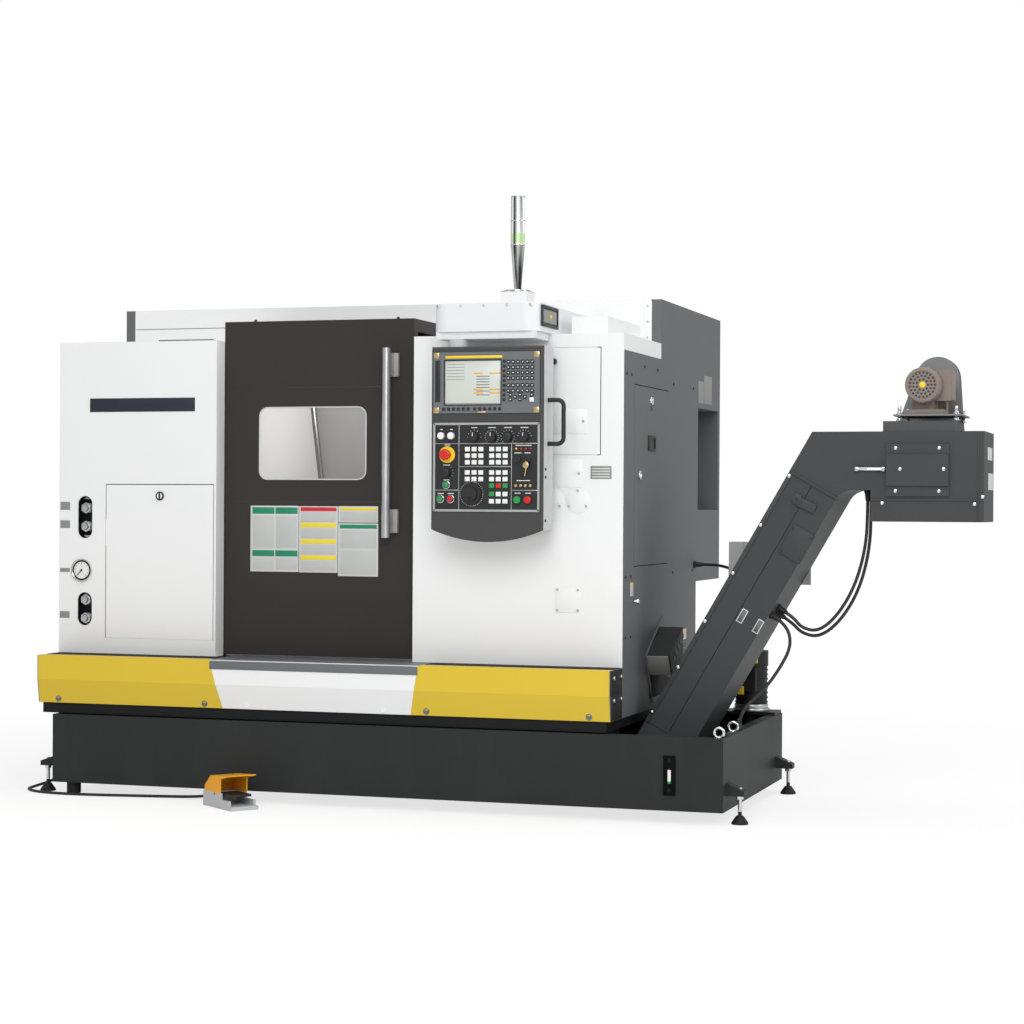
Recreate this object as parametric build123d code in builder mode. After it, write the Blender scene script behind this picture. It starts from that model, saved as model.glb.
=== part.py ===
"""A slant-bed turning centre with a sliding door, a swivelling control pendant and a chip conveyor.

Lengths are millimetres. While modelling, X = 0 is the right side, Y = 0 the front panels and Z = 0 the floor.
"""

import os
from math import atan2, cos, hypot, pi, radians, sin, tan

from build123d import *

os.makedirs("parts", exist_ok=True)

# Stock and fits
sheet = 3.0  # folded panels
seam = 3.0  # open joint round a hatch
hinge_gap = 0.3  # joint on the hinge side
run_gap = 0.3  # between pieces that slide past each other
bore_gap = 0.05  # radial play of a shaft in its bearing
overrun = 6.0  # how far a cut runs past its piece
quarter = 90.0  # degrees

# Body
right_panel_width = 808.0
door_way = 804.0
left_panel_width = 673.0
right_panel_left = -right_panel_width
left_panel_right = right_panel_left - door_way
body_left = left_panel_right - left_panel_width
rear_start = 557.0
rear_depth = 1046.0
body_rear = rear_start + rear_depth
panel_low = 532.0
panel_rise = 1213.0
rear_rise = 171.0
body_top = panel_low + panel_rise + rear_rise
front_top = panel_low + panel_rise
rear_step_in = 437.0
rear_step_y = body_rear - rear_step_in
rear_step_rise = 280.0
rear_step_z = panel_low + rear_step_rise
side_low = 352.0
cap_drop = 60.0

# Coolant pan and feet
tank_inset = 62.0
tank_left = body_left + tank_inset
tank_right = 408.0
tank_front = -155.0
tank_rear_inset = 236.0
tank_rear = rear_step_y - tank_rear_inset
tank_low = 45.0
tank_top = 306.0
tank_wall = 4.0
rim_width = 40.0
foot_reach_left = 60.0
foot_reach_right = 45.0
foot_front_inset = 75.0
foot_front_y = tank_front + foot_front_inset
foot_rear_inset = 105.0
foot_rear_y = tank_rear - foot_rear_inset
arm_width = 50.0
arm_low = 100.0
arm_tip = 18.0
arm_rise = 46.0
arm_past = 20.0
stud_radius = 7.0
stud_top = 130.0
stud_low = 20.0
nut_radius = 13.0
nut_height = 12.0
pad_radius = 30.0
pad_top_radius = 13.0
pad_base = 6.0
pad_height = 30.0
disc_radius = 27.0
disc_end_inset = 63.0
disc_next_inset = 323.0
disc_middle_inset = 152.0
disc_right_inset = 258.0
disc_x = (
    tank_left + disc_end_inset,
    tank_left + disc_next_inset,
    right_panel_left - disc_middle_inset,
    tank_right - disc_right_inset,
)
disc_front_inset = 55.0
disc_front_y = tank_front + disc_front_inset
disc_mid_y = 250.0
disc_rear_inset = 80.0
disc_rear_y = tank_rear - disc_rear_inset

# Base
base_left_inset = 12.0
base_left = body_left + base_left_inset
base_right_inset = 20.0
base_right = -base_right_inset
base_front = -140.0
base_rear_inset = 16.0
base_rear = rear_step_y - base_rear_inset
base_low = 310.0
base_top = panel_low - sheet
base_wall = 25.0
chip_left_inset = 12.0
chip_left = left_panel_right + chip_left_inset
chip_right_reach = 388.0
chip_right = right_panel_left + chip_right_reach
chip_front = 195.0
chip_rear = 535.0
leg_left_inset = 385.0
leg_middle_inset = 152.0
leg_right_inset = 150.0
leg_x = (body_left + leg_left_inset, right_panel_left - leg_middle_inset, -leg_right_inset)
leg_width = 200.0
leg_front_y = 65.0
leg_rear_y = 710.0
leg_depth = 170.0

# Skirts
skirt_front = -165.0
skirt_low = 350.0
skirt_crease = 440.0
skirt_tuck = 14.0
skirt_lap = 20.0
split_left_upper = 52.0
split_left_top = left_panel_right + split_left_upper
split_left_lower = 103.0
split_left_low = left_panel_right + split_left_lower
split_right_upper = 83.0
split_right_top = right_panel_left + split_right_upper
split_right_lower = 50.0
split_right_low = right_panel_left + split_right_lower

# Front panels
left_return = 72.0
right_return = 110.0
jamb_width = 25.0
top_return = 60.0
cup_inset = 113.0
cup_x = body_left + cup_inset
cup_width = 62.0
cup_upper_z = 1063.0
cup_upper_height = 165.0
cup_lower_z = 705.0
cup_lower_height = 129.0
cup_depth = 35.0
cup_wall = 2.0
stub_radius = 19.0
stub_length = 22.0
stub_spread = 36.0
gauge_inset = 102.0
gauge_x = body_left + gauge_inset
gauge_z = 856.0
gauge_radius = 40.0
gauge_rim = 45.0
gauge_rim_depth = 10.0
gauge_depth = 42.0
gauge_dial_depth = 4.0
hatch_left_inset = 205.0
hatch_left = body_left + hatch_left_inset
hatch_right_inset = 12.0
hatch_right = left_panel_right - hatch_right_inset
hatch_low = 594.0
hatch_height = 596.0
hatch_top = hatch_low + hatch_height
hatch_depth = 20.0
lock_radius = 14.0
lock_drop = 43.0
lock_proud = 5.0
cover_inset = 88.0
cover_width = 332.0
cover_left = -cover_inset - cover_width
cover_right = -cover_inset
cover_drop = 52.0
cover_height = 388.0
cover_low = front_top - cover_drop - cover_height
cover_top = front_top - cover_drop
cover_lap = 12.0

# Side panels
side_door_front = 157.0
side_door_width = 518.0
side_door_rear = side_door_front + side_door_width
side_door_low = 898.0
side_door_height = 668.0
side_door_top = side_door_low + side_door_height
side_door_depth = 20.0
side_lock_drop = 70.0
recess_inset = 33.0
recess_width = 380.0
recess_front = body_rear - recess_inset - recess_width
recess_rear = body_rear - recess_inset
recess_low = 1105.0
recess_height = 420.0
recess_top = recess_low + recess_height
recess_depth = 150.0
flange_width = 37.0
inlet_radius = 20.0
inlet_x = -300.0
inlet_z = 700.0

# Front door
door_lap = 28.0
door_left_lap = 2.0
door_left = left_panel_right - door_left_lap
door_right = right_panel_left - door_lap
door_front = 77.0
door_depth = 40.0
door_lift = 6.0
door_low = panel_low + door_lift
door_rise = 75.0
door_top = front_top + door_rise
door_travel = 600.0
hood_rear = 480.0
hood_drop = 48.0
window_left_inset = 145.0
window_left = door_left + window_left_inset
window_right_inset = 194.0
window_right = door_right - window_right_inset
window_drop = 331.0
window_height = 278.0
window_low = door_top - window_drop - window_height
window_top = door_top - window_drop
window_round = 34.0
glass_thick = 6.0
glass_lap = 14.0
handle_inset = 89.0
handle_x = door_right - handle_inset
handle_y = 20.0
handle_radius = 16.0
handle_drop = 114.0
handle_length = 712.0
handle_low = door_top - handle_drop - handle_length
handle_top = door_top - handle_drop
bracket_width = 30.0
bracket_height = 90.0
bracket_inset = 16.0
rail_width = 20.0
rail_inset = 35.0
rail_left = body_left + rail_inset
rail_y = 97.0
upper_rail_y = 450.0
upper_rail_height = 10.0
hanger_inset = 60.0
hanger_length = 90.0

# Roof
roof_slot_rear = 125.0
roof_gap_rear = 430.0
roof_box_left = -224.0
roof_box_right = -85.0
roof_box_front = 90.0
roof_box_rear = rear_start
roof_box_height = 70.0

# Working chamber
bulkhead = 4.0
chamber_right = -310.0
chamber_inset = 54.0
chamber_rear = rear_step_y - chamber_inset
lining_foot_inset = 62.0
lining_foot_y = rear_step_y - lining_foot_inset
lining_knee_inset = 186.0
lining_knee_y = rear_step_y - lining_knee_inset
lining_knee_z = 1500.0

# Spindle line and slant bed, worked in slope and square distances from the spindle line
axis_y = 400.0
axis_z = 1000.0
slant = 45.0
bed_left_inset = 12.0
bed_left = left_panel_right + bed_left_inset
bed_right_inset = 20.0
bed_right = chamber_right - bed_right_inset
bed_drop = 215.0
bed_lower = -110.0
bed_upper = 340.0
bed_rear_inset = 66.0
bed_rear = rear_step_y - bed_rear_inset
bed_front = 545.0
way_drop = 170.0
way_width = 34.0
sub_way_low = -80.0
sub_way_high = 20.0
main_way_low = 130.0
main_way_high = 300.0
screw_slope = 215.0
screw_drop = 192.0
screw_radius = 12.0
screw_pitch = 10.0
bearer_length = 38.0
bearer_width = 44.0
head_inset = 135.0
head_left = body_left + head_inset
head_gap = 12.0
head_right = left_panel_right - head_gap
head_half = 135.0
head_round = 40.0
spindle_radius = 55.0
spindle_inset = 85.0
spindle_left = body_left + spindle_inset
spindle_bore = 26.0
chuck_bore = 27.0
sub_bore = 22.0
nose_radius = 80.0
nose_gap = 10.0
nose_left = left_panel_right + nose_gap
nose_length = 30.0
nose_right = nose_left + nose_length
chuck_radius = 84.5
chuck_length = 85.0
chuck_slot_width = 16.0
chuck_slot_depth = 8.0
jaw_count = 3
jaw_inner = 30.0
jaw_outer = 80.0
jaw_width = 28.0
jaw_length = 42.0
saddle_inset = 192.0
saddle_left = right_panel_left - saddle_inset
saddle_width = 235.0
saddle_right = saddle_left + saddle_width
saddle_low = 95.0
saddle_high = 335.0
saddle_thick = 55.0
saddle_travel = 300.0
nut_half = 25.0
slide_inset = 15.0
slide_thick = 54.0
slide_travel = 160.0
turret_slope = 300.0
turret_half = 85.0
turret_lift = 75.0
disc_gap = 4.0
disc_thick = 88.0
disc_left = saddle_left - disc_gap - disc_thick
disc_right = saddle_left - disc_gap
turret_disc_radius = 130.0
hub_radius = 40.0
hub_length = 60.0
tool_count = 12
tool_width = 30.0
tool_reach = 35.0
tool_inset = 12.0
sub_inset = 35.0
sub_length = 291.0
sub_left = chamber_right - sub_inset - sub_length
sub_right = chamber_right - sub_inset
sub_carriage_low = -105.0
sub_carriage_high = 55.0
sub_half = 95.0
sub_rise = 110.0
sub_lift = 100.0
sub_travel = 500.0
sub_shaft_radius = 45.0
sub_shaft_length = 230.0
sub_chuck_length = 75.0
sub_chuck_gap = 4.0

# Pendant
arm_length = 406.0
arm_inset = 270.0
arm_left = -arm_inset - arm_length
arm_right = -arm_inset
arm_front = -180.0
arm_height = 102.0
arm_top = front_top + arm_height
arm_round = 60.0
tier_drop = 26.0
tier_inset = 14.0
swivel_inset = 91.0
swivel_x = arm_left + swivel_inset
swivel_set = 40.0
swivel_y = arm_front + swivel_set
swivel_radius = 20.0
swivel_rise = 34.0
neck_radius = 36.0
pendant_hang = 82.0
pendant_width = 424.0
pendant_left = swivel_x - pendant_hang
pendant_right = pendant_left + pendant_width
pendant_front = -200.0
pendant_depth = 122.0
pendant_drop = 55.0
pendant_top = front_top - pendant_drop
pendant_height = 660.0
pendant_corner = pendant_top - pendant_height
pendant_belly = 44.0
pendant_low = pendant_corner - pendant_belly
pendant_round = 8.0
screen_left_inset = 10.0
screen_left = pendant_left + screen_left_inset
screen_right_inset = 13.0
screen_right = pendant_right - screen_right_inset
screen_drop = 21.0
screen_height = 220.0
screen_low = pendant_top - screen_drop - screen_height
screen_top = pendant_top - screen_drop
screen_thick = 16.0
screen_pocket = 10.0
lcd_inset = 43.0
lcd_left = screen_left + lcd_inset
lcd_width = 213.0
lcd_right = lcd_left + lcd_width
lcd_drop = 30.0
lcd_height = 159.0
lcd_low = screen_top - lcd_drop - lcd_height
lcd_top = screen_top - lcd_drop
lcd_depth = 4.0
panel_left_inset = 12.0
panel_left = pendant_left + panel_left_inset
panel_right_inset = 13.0
panel_right = pendant_right - panel_right_inset
panel_drop = 36.0
panel_height = 316.0
panel_foot = screen_low - panel_drop - panel_height
panel_head = screen_low - panel_drop
panel_thick = 12.0
panel_pocket = 9.0
grip_radius = 8.0
grip_reach = 58.0
grip_drop = 193.0
grip_span = 157.0
grip_low = pendant_top - grip_drop - grip_span
grip_high = pendant_top - grip_drop
grip_bend = 22.0
tower_inset = 116.0
tower_x = arm_right - tower_inset
tower_set = 120.0
tower_y = arm_front + tower_set
tower_block = 100.0
tower_block_height = 49.0
tower_foot_radius = 13.0
tower_radius = 26.0
tower_foot_rise = 58.0
tower_taper_low = arm_top + tower_foot_rise
tower_height = 399.0
tower_lens = 179.0
tower_lens_low = arm_top + tower_height - tower_lens
tower_top = arm_top + tower_height
tower_cap = 8.0

# Controls on the operator panel
stem_radius = 7.0
stem_length = 6.0
control_gap = 0.8
knob_radius = 17.0
knob_height = 20.0
knob_row_drop = 50.0
knob_row_z = panel_head - knob_row_drop
mode_inset = 154.0
mode_x = panel_left + mode_inset
feed_inset = 221.0
feed_x = panel_left + feed_inset
rapid_inset = 281.0
rapid_x = panel_left + rapid_inset
speed_inset = 56.0
speed_x = panel_right - speed_inset
lamp_drop = 45.0
lamp_z = panel_head - lamp_drop
lamp_left_inset = 29.0
lamp_left_x = panel_left + lamp_left_inset
lamp_right_inset = 67.0
lamp_right_x = panel_left + lamp_right_inset
button_radius = 13.0
button_height = 10.0
button_travel = 4.0
stop_inset = 52.0
stop_x = panel_left + stop_inset
stop_drop = 113.0
stop_z = panel_head - stop_drop
stop_ring_radius = 29.0
stop_ring_height = 5.0
stop_cap_radius = 20.0
stop_cap_height = 14.0
stop_neck_radius = 12.0
stop_neck_height = 14.0
stop_travel = 5.0
side_knob_inset = 49.0
side_knob_x = panel_left + side_knob_inset
side_knob_drop = 177.0
side_knob_z = panel_head - side_knob_drop
side_button_rise = 94.0
side_button_z = panel_foot + side_button_rise
left_pair_rise = 43.0
left_pair_z = panel_foot + left_pair_rise
left_green_inset = 27.0
left_green_x = panel_left + left_green_inset
left_red_inset = 66.0
left_red_x = panel_left + left_red_inset
right_pair_rise = 41.0
right_pair_z = panel_foot + right_pair_rise
start_inset = 80.0
start_x = panel_right - start_inset
hold_inset = 41.0
hold_x = panel_right - hold_inset
wheel_inset = 145.0
wheel_x = panel_left + wheel_inset
wheel_rise = 62.0
wheel_z = panel_foot + wheel_rise
wheel_radius = 38.0
wheel_height = 9.0
wheel_grip_radius = 25.0
wheel_grip_height = 13.0
dimple_radius = 5.0
dimple_depth = 4.0
key_width = 18.0
key_height = 15.5
key_proud = 2.0
key_pitch_x = 26.0
key_left_inset = 149.0
key_left_x = panel_left + key_left_inset
key_right_inset = 157.0
key_right_x = panel_right - key_right_inset
key_upper_drop = 114.0
key_upper_z = panel_head - key_upper_drop
key_upper_pitch = 24.0
key_lower_drop = 187.0
key_lower_z = panel_head - key_lower_drop
key_lower_pitch = 25.0
key_colour_rise = 91.0
key_colour_z = panel_foot + key_colour_rise
key_low_rise = 49.0
key_low_z = panel_foot + key_low_rise
key_low_pitch = 26.0

# Chip conveyor
conveyor_front = 200.0
conveyor_rear = 530.0
conveyor_wall = 4.0
trough_left = -1590.0
trough_top = 230.0
incline = 60.0
incline_x = 29.0
incline_z = 314.0
incline_thick = 198.0
neck_low = 1181.0
arch_radius = 70.0
head_box_left = 862.0
head_box_right = 1245.0
head_box_low = 1068.0
head_top = 1391.0
end_plate = 18.0
discharge_left = 905.0
discharge_right = 1225.0
trough_open_right = -90.0
shaft_x = 1011.0
shaft_z = 1256.0
shaft_radius = 15.0
belt_half = 54.0
belt_thick = 7.0
belt_tail_x = -1520.0
belt_edge = 14.0
slat_count = 9
slat_height = 12.0
slat_width = 8.0
bearing_left = 920.0
bearing_right = 1140.0
bearing_low = 1196.0
bearing_top = 1309.0
bearing_depth = 16.0
bearing_side_lap = 2.0
bearing_lap = 37.0
tension_radius = 6.0
tension_reach = 100.0
tension_y = 8.0
motor_x = 1046.0
motor_z = 1556.0
motor_front = 195.0
motor_length = 190.0
motor_radius = 64.0
motor_cap_length = 60.0
motor_foot_width = 140.0
motor_foot_height = 18.0
terminal_width = 62.0
terminal_depth = 90.0
terminal_height = 110.0
platform_left = 905.0
platform_right = 1160.0
platform_rise = 37.0
platform_front = 205.0
platform_rear = 470.0
tray_left_inset = 36.0
tray_right_reach = 22.0
tray_lift = 18.0
tray_thick = 6.0
tray_stud_radius = 6.0
tray_stud_height = 52.0
tray_stud_inset = 20.0
gear_length = 60.0
gear_half = 62.0
guard_upper_radius = 80.0
guard_rise = 41.0
guard_shift = 11.0
guard_lower_radius = 150.0
guard_depth = 55.0
guard_wall = 3.0
sprocket_radius = 70.0
sprocket_thick = 14.0
sprocket_stand = 20.0

# Pump, boxes and cable ends
pump_x = 300.0
pump_set = 80.0
pump_y = tank_rear - pump_set
pump_radius = 62.0
pump_head_top = 555.0
pump_flange = 110.0
pump_flange_thick = 12.0
pump_tube_radius = 28.0
pump_tube_low = 90.0
pump_cap_height = 60.0
pump_cap_radius = 66.0
pump_box_width = 70.0
pump_box_height = 90.0
pump_box_depth = 34.0
pump_box_low = 400.0
side_box_front = 342.0
side_box_rear = 560.0
side_box_low = 481.0
side_box_top = 655.0
side_box_lip = 558.0
side_box_tuck = 52.0
side_box_reach = 92.0
junction_left = 275.0
junction_right = 330.0
junction_low = 870.0
junction_top = 985.0
junction_depth = 90.0
stay_right = 590.0
stay_low = 826.0
stay_top = 903.0
gland_radius = 14.0
gland_length = 22.0

# Foot pedal, in its own turned frame
pedal_x = -1413.0
pedal_y = -285.0
pedal_turn = -38.0
pedal_half_length = 112.0
pedal_half_width = 56.0
pedal_plate = 14.0
pedal_block_length = 72.0
pedal_block_top = 56.0
pedal_wall = 10.0
pedal_wall_top = 34.0
hood_thick = 4.0
hood_back = -100.0
hood_shoulder = -52.0
hood_shoulder_z = 116.0
hood_lip = 92.0
hood_lip_z = 127.0
hood_cheek = 26.0
hood_back_z = 76.0
treadle_back = -28.0
treadle_tip = 84.0
treadle_half = 42.0
treadle_thick = 9.0
treadle_z = 46.0
treadle_pin = 4.0
treadle_press = 8.0
cord_radius = 5.5
cable_radius = 6.0

# Overall reach, from which the shared frame is centred
pedal_reach = pedal_half_length * sin(radians(-pedal_turn)) + pedal_half_width * cos(radians(pedal_turn))
left_end = tank_left - foot_reach_left - pad_radius
right_end = head_box_right + end_plate
front_end = pedal_y - pedal_reach
shift_x = -(left_end + right_end) / 2
shift_y = -(front_end + body_rear) / 2
to_frame = Location((shift_x, shift_y, 0))


def write(builder, label):
    """Move a finished piece to the shared frame and write it under its name."""
    piece = to_frame * builder.part
    piece.label = label
    export_step(piece, f"parts/{label}.step")


def block(x0, x1, y0, y1, z0, z1, mode=Mode.ADD):
    """A block between two places on each axis."""
    with Locations(((x0 + x1) / 2, (y0 + y1) / 2, (z0 + z1) / 2)):
        Box(x1 - x0, y1 - y0, z1 - z0, mode=mode)


def rod_x(x0, x1, y, z, radius, mode=Mode.ADD):
    """A round bar along X."""
    with Locations(Location(((x0 + x1) / 2, y, z), (0, quarter, 0))):
        Cylinder(radius, x1 - x0, mode=mode)


def rod_y(x, y0, y1, z, radius, mode=Mode.ADD):
    """A round bar along Y."""
    with Locations(Location((x, (y0 + y1) / 2, z), (quarter, 0, 0))):
        Cylinder(radius, y1 - y0, mode=mode)


def rod_z(x, y, z0, z1, radius, mode=Mode.ADD):
    """A round bar along Z."""
    with Locations((x, y, (z0 + z1) / 2)):
        Cylinder(radius, z1 - z0, mode=mode)


def prism_x(points, x0, x1, mode=Mode.ADD):
    """An outline of (y, z) points drawn out along X."""
    with BuildSketch(Plane.YZ.offset(x0)) as outline:
        Polygon(*points, align=None)
    extrude(outline.sketch, amount=x1 - x0, dir=(1, 0, 0), mode=mode)


def prism_y(points, y0, y1, mode=Mode.ADD):
    """An outline of (x, z) points drawn out along Y."""
    with BuildSketch(Plane.XZ.offset(-y1)) as outline:
        Polygon(*points, align=None)
    extrude(outline.sketch, amount=y1 - y0, dir=(0, -1, 0), mode=mode)


def prism_z(points, z0, z1, mode=Mode.ADD):
    """An outline of (x, y) points drawn out along Z."""
    with BuildSketch(Plane.XY.offset(z0)) as outline:
        Polygon(*points, align=None)
    extrude(outline.sketch, amount=z1 - z0, dir=(0, 0, 1), mode=mode)


# Coolant pan with welded foot arms
foot_left_x = tank_left - foot_reach_left
foot_right_x = tank_right + foot_reach_right
tank_floor = tank_low + tank_wall


def foot_arm(wall, stud_x, tip_x, y):
    """A gusset arm from an end wall of the pan, drilled for its levelling screw."""
    outline = [
        (wall, arm_low + arm_rise),
        (tip_x, arm_low + arm_tip),
        (tip_x, arm_low),
        (wall, arm_low),
    ]
    prism_y(outline, y - arm_width / 2, y + arm_width / 2)
    rod_z(stud_x, y, arm_low - overrun, stud_top, stud_radius + bore_gap, Mode.SUBTRACT)


with BuildPart() as coolant_tank:
    block(tank_left, tank_right, tank_front, tank_rear, tank_low, tank_top)
    block(
        tank_left + tank_wall,
        tank_right - tank_wall,
        tank_front + tank_wall,
        tank_rear - tank_wall,
        tank_floor,
        tank_top - tank_wall,
        Mode.SUBTRACT,
    )
    block(
        tank_left + rim_width,
        tank_right - rim_width,
        tank_front + rim_width,
        tank_rear - rim_width,
        tank_floor,
        tank_top + overrun,
        Mode.SUBTRACT,
    )
    for foot_y in (foot_front_y, foot_rear_y):
        foot_arm(tank_left, foot_left_x, foot_left_x - arm_past, foot_y)
        foot_arm(tank_right, foot_right_x, foot_right_x + arm_past, foot_y)
write(coolant_tank, "coolant_tank")

with BuildPart() as levelling_feet:
    for foot_x in (foot_left_x, foot_right_x):
        for foot_y in (foot_front_y, foot_rear_y):
            rod_z(foot_x, foot_y, stud_low, stud_top, stud_radius)
            rod_z(foot_x, foot_y, 0, pad_base, pad_radius)
            with Locations((foot_x, foot_y, (pad_base + pad_height) / 2)):
                Cone(pad_radius, pad_top_radius, pad_height - pad_base)
            with BuildSketch(Plane.XY.offset(arm_low - nut_height)):
                with Locations((foot_x, foot_y)):
                    RegularPolygon(nut_radius, 6)
            extrude(amount=nut_height)
    for disc_place in disc_x:
        for disc_y in (disc_mid_y, disc_rear_y):
            rod_z(disc_place, disc_y, 0, tank_low, disc_radius)
    rod_z(disc_x[0], disc_front_y, 0, tank_low, disc_radius)
write(levelling_feet, "levelling_feet")

# Base with chip opening and legs that stand in the pan
with BuildPart() as machine_base:
    block(base_left, base_right, base_front, base_rear, base_low, base_top)
    block(chip_left, chip_right, chip_front, chip_rear, base_low - overrun, base_top + overrun, Mode.SUBTRACT)
    for hollow_front, hollow_rear in ((base_front, chip_front), (chip_rear, base_rear)):
        block(
            base_left + base_wall,
            base_right - base_wall,
            hollow_front + base_wall,
            hollow_rear - base_wall,
            base_low - overrun,
            base_top - base_wall,
            Mode.SUBTRACT,
        )
    for leg_place in leg_x:
        for leg_y in (leg_front_y, leg_rear_y):
            block(
                leg_place - leg_width / 2,
                leg_place + leg_width / 2,
                leg_y - leg_depth / 2,
                leg_y + leg_depth / 2,
                tank_floor,
                base_top - base_wall / 2,
            )
write(machine_base, "machine_base")

# Skirts along the front of the base
skirt_outline = [
    (skirt_lap, panel_low),
    (skirt_front, panel_low),
    (skirt_front, skirt_crease),
    (skirt_front + skirt_tuck, skirt_low),
    (skirt_front + skirt_tuck + sheet, skirt_low),
    (skirt_front + sheet, skirt_crease),
    (skirt_front + sheet, base_top),
    (skirt_lap, base_top),
]


def split_face(top_x, low_x):
    """The slanted joint between two skirts, facing right."""
    run = (low_x - top_x, skirt_low - panel_low)
    return Plane(origin=(top_x, 0, panel_low), x_dir=(0, 1, 0), z_dir=(-run[1], 0, run[0]))


left_split = split_face(split_left_top, split_left_low)
right_split = split_face(split_right_top, split_right_low)

with BuildPart() as left_skirt:
    prism_x(skirt_outline, body_left + sheet, split_left_low)
    split(bisect_by=left_split, keep=Keep.BOTTOM)

with BuildPart() as right_skirt:
    prism_x(skirt_outline, split_right_low, -sheet)
    split(bisect_by=right_split, keep=Keep.TOP)

with BuildPart() as side_skirts:
    add(left_skirt.part)
    add(right_skirt.part)
write(side_skirts, "side_skirts")

with BuildPart() as centre_skirt:
    prism_x(skirt_outline, split_left_top, split_right_top)
    split(bisect_by=left_split, keep=Keep.TOP)
    split(bisect_by=right_split, keep=Keep.BOTTOM)
write(centre_skirt, "centre_skirt")


# Front panels
def pressed_cup(z, height):
    """A rounded cup pressed into the left panel, with two valve stubs on its floor."""
    for grow, depth, mode in ((cup_wall, cup_depth, Mode.ADD), (0, cup_depth - cup_wall, Mode.SUBTRACT)):
        with BuildSketch(Plane.XZ.offset(-depth)) as cup:
            with Locations((cup_x, z)):
                SlotOverall(height + 2 * grow, cup_width + 2 * grow, rotation=quarter)
        extrude(cup.sketch, amount=depth, dir=(0, -1, 0), mode=mode)
    for side in (-1, 1):
        stub_z = z + side * stub_spread
        rod_y(cup_x, cup_depth - cup_wall - stub_length, cup_depth - cup_wall, stub_z, stub_radius)


with BuildPart() as left_front_panel:
    block(body_left, left_panel_right, 0, sheet, panel_low, front_top)
    block(left_panel_right - sheet, left_panel_right, sheet, left_return, panel_low, front_top)
    block(body_left + sheet, left_panel_right, sheet, top_return, front_top - sheet, front_top)
    block(
        hatch_left - seam,
        hatch_right + seam,
        -overrun,
        overrun,
        hatch_low - hinge_gap,
        hatch_top + seam,
        Mode.SUBTRACT,
    )
    pressed_cup(cup_upper_z, cup_upper_height)
    pressed_cup(cup_lower_z, cup_lower_height)
    rod_y(gauge_x, -overrun, overrun, gauge_z, gauge_radius + bore_gap, Mode.SUBTRACT)
write(left_front_panel, "left_front_panel")

with BuildPart() as service_hatch:
    block(hatch_left, hatch_right, 0, hatch_depth, hatch_low, hatch_top)
    block(
        hatch_left + sheet,
        hatch_right - sheet,
        sheet,
        hatch_depth + overrun,
        hatch_low + sheet,
        hatch_top - sheet,
        Mode.SUBTRACT,
    )
    hatch_middle = (hatch_left + hatch_right) / 2
    rod_y(hatch_middle, -lock_proud, hatch_depth, hatch_top - lock_drop, lock_radius)
write(service_hatch, "service_hatch")

with BuildPart() as pressure_gauge:
    rod_y(gauge_x, -gauge_rim_depth, 0, gauge_z, gauge_rim)
    rod_y(gauge_x, 0, gauge_depth, gauge_z, gauge_radius)
    dial_radius = gauge_rim - gauge_dial_depth
    rod_y(gauge_x, -gauge_rim_depth - overrun, gauge_dial_depth - gauge_rim_depth, gauge_z, dial_radius, Mode.SUBTRACT)
write(pressure_gauge, "pressure_gauge")

with BuildPart() as right_front_panel:
    block(right_panel_left, 0, 0, sheet, panel_low, front_top)
    block(right_panel_left, right_panel_left + sheet, sheet, right_return, panel_low, front_top - sheet)
    block(
        right_panel_left - jamb_width,
        right_panel_left + sheet,
        right_return - sheet,
        right_return,
        panel_low,
        front_top - sheet,
    )
    block(
        cover_left - seam,
        cover_right + seam,
        -overrun,
        overrun,
        cover_low - seam,
        cover_top + seam,
        Mode.SUBTRACT,
    )
write(right_front_panel, "right_front_panel")

with BuildPart() as right_hatch:
    block(cover_left, cover_right, 0, sheet, cover_low, cover_top)
    for batten_z in (cover_low, cover_top):
        block(
            cover_left + cover_lap,
            cover_right - cover_lap,
            sheet,
            2 * sheet,
            batten_z - cover_lap,
            batten_z + cover_lap,
        )
write(right_hatch, "right_hatch")


# Side panels
side_outline = [
    (skirt_front, panel_low),
    (skirt_front, skirt_crease),
    (skirt_front + skirt_tuck, skirt_low),
    (rear_step_y, skirt_low),
    (rear_step_y, rear_step_z),
    (body_rear, rear_step_z),
    (body_rear, body_top),
    (rear_start, body_top),
    (rear_start, front_top - cap_drop),
    (sheet, front_top - cap_drop),
    (sheet, panel_low),
]

with BuildPart() as right_side_panel:
    prism_x(side_outline, -sheet, 0)
    block(-sheet - flange_width, -sheet, rear_start, rear_start + sheet, front_top, body_top)
    block(
        -overrun,
        overrun,
        side_door_front - seam,
        side_door_rear + hinge_gap,
        side_door_low - seam,
        side_door_top + seam,
        Mode.SUBTRACT,
    )
    block(-recess_depth, -sheet, recess_front - sheet, recess_rear + sheet, recess_low - sheet, recess_top + sheet)
    block(
        sheet - recess_depth,
        overrun,
        recess_front,
        recess_rear,
        recess_low,
        recess_top,
        Mode.SUBTRACT,
    )
write(right_side_panel, "right_side_panel")

with BuildPart() as cabinet_door:
    block(-side_door_depth, 0, side_door_front, side_door_rear, side_door_low, side_door_top)
    block(
        -side_door_depth - overrun,
        -sheet,
        side_door_front + sheet,
        side_door_rear - sheet,
        side_door_low + sheet,
        side_door_top - sheet,
        Mode.SUBTRACT,
    )
    side_lock_y = (side_door_front + side_door_rear) / 2
    rod_x(-side_door_depth, lock_proud, side_lock_y, side_door_top - side_lock_drop, lock_radius)
write(cabinet_door, "cabinet_door")

with BuildPart() as left_side_panel:
    prism_x(side_outline, body_left, body_left + sheet)
    block(
        body_left + sheet,
        body_left + sheet + flange_width,
        rear_start,
        rear_start + sheet,
        front_top,
        body_top,
    )
    rod_x(body_left - overrun, body_left + overrun, axis_y, axis_z, spindle_radius, Mode.SUBTRACT)
write(left_side_panel, "left_side_panel")

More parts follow.
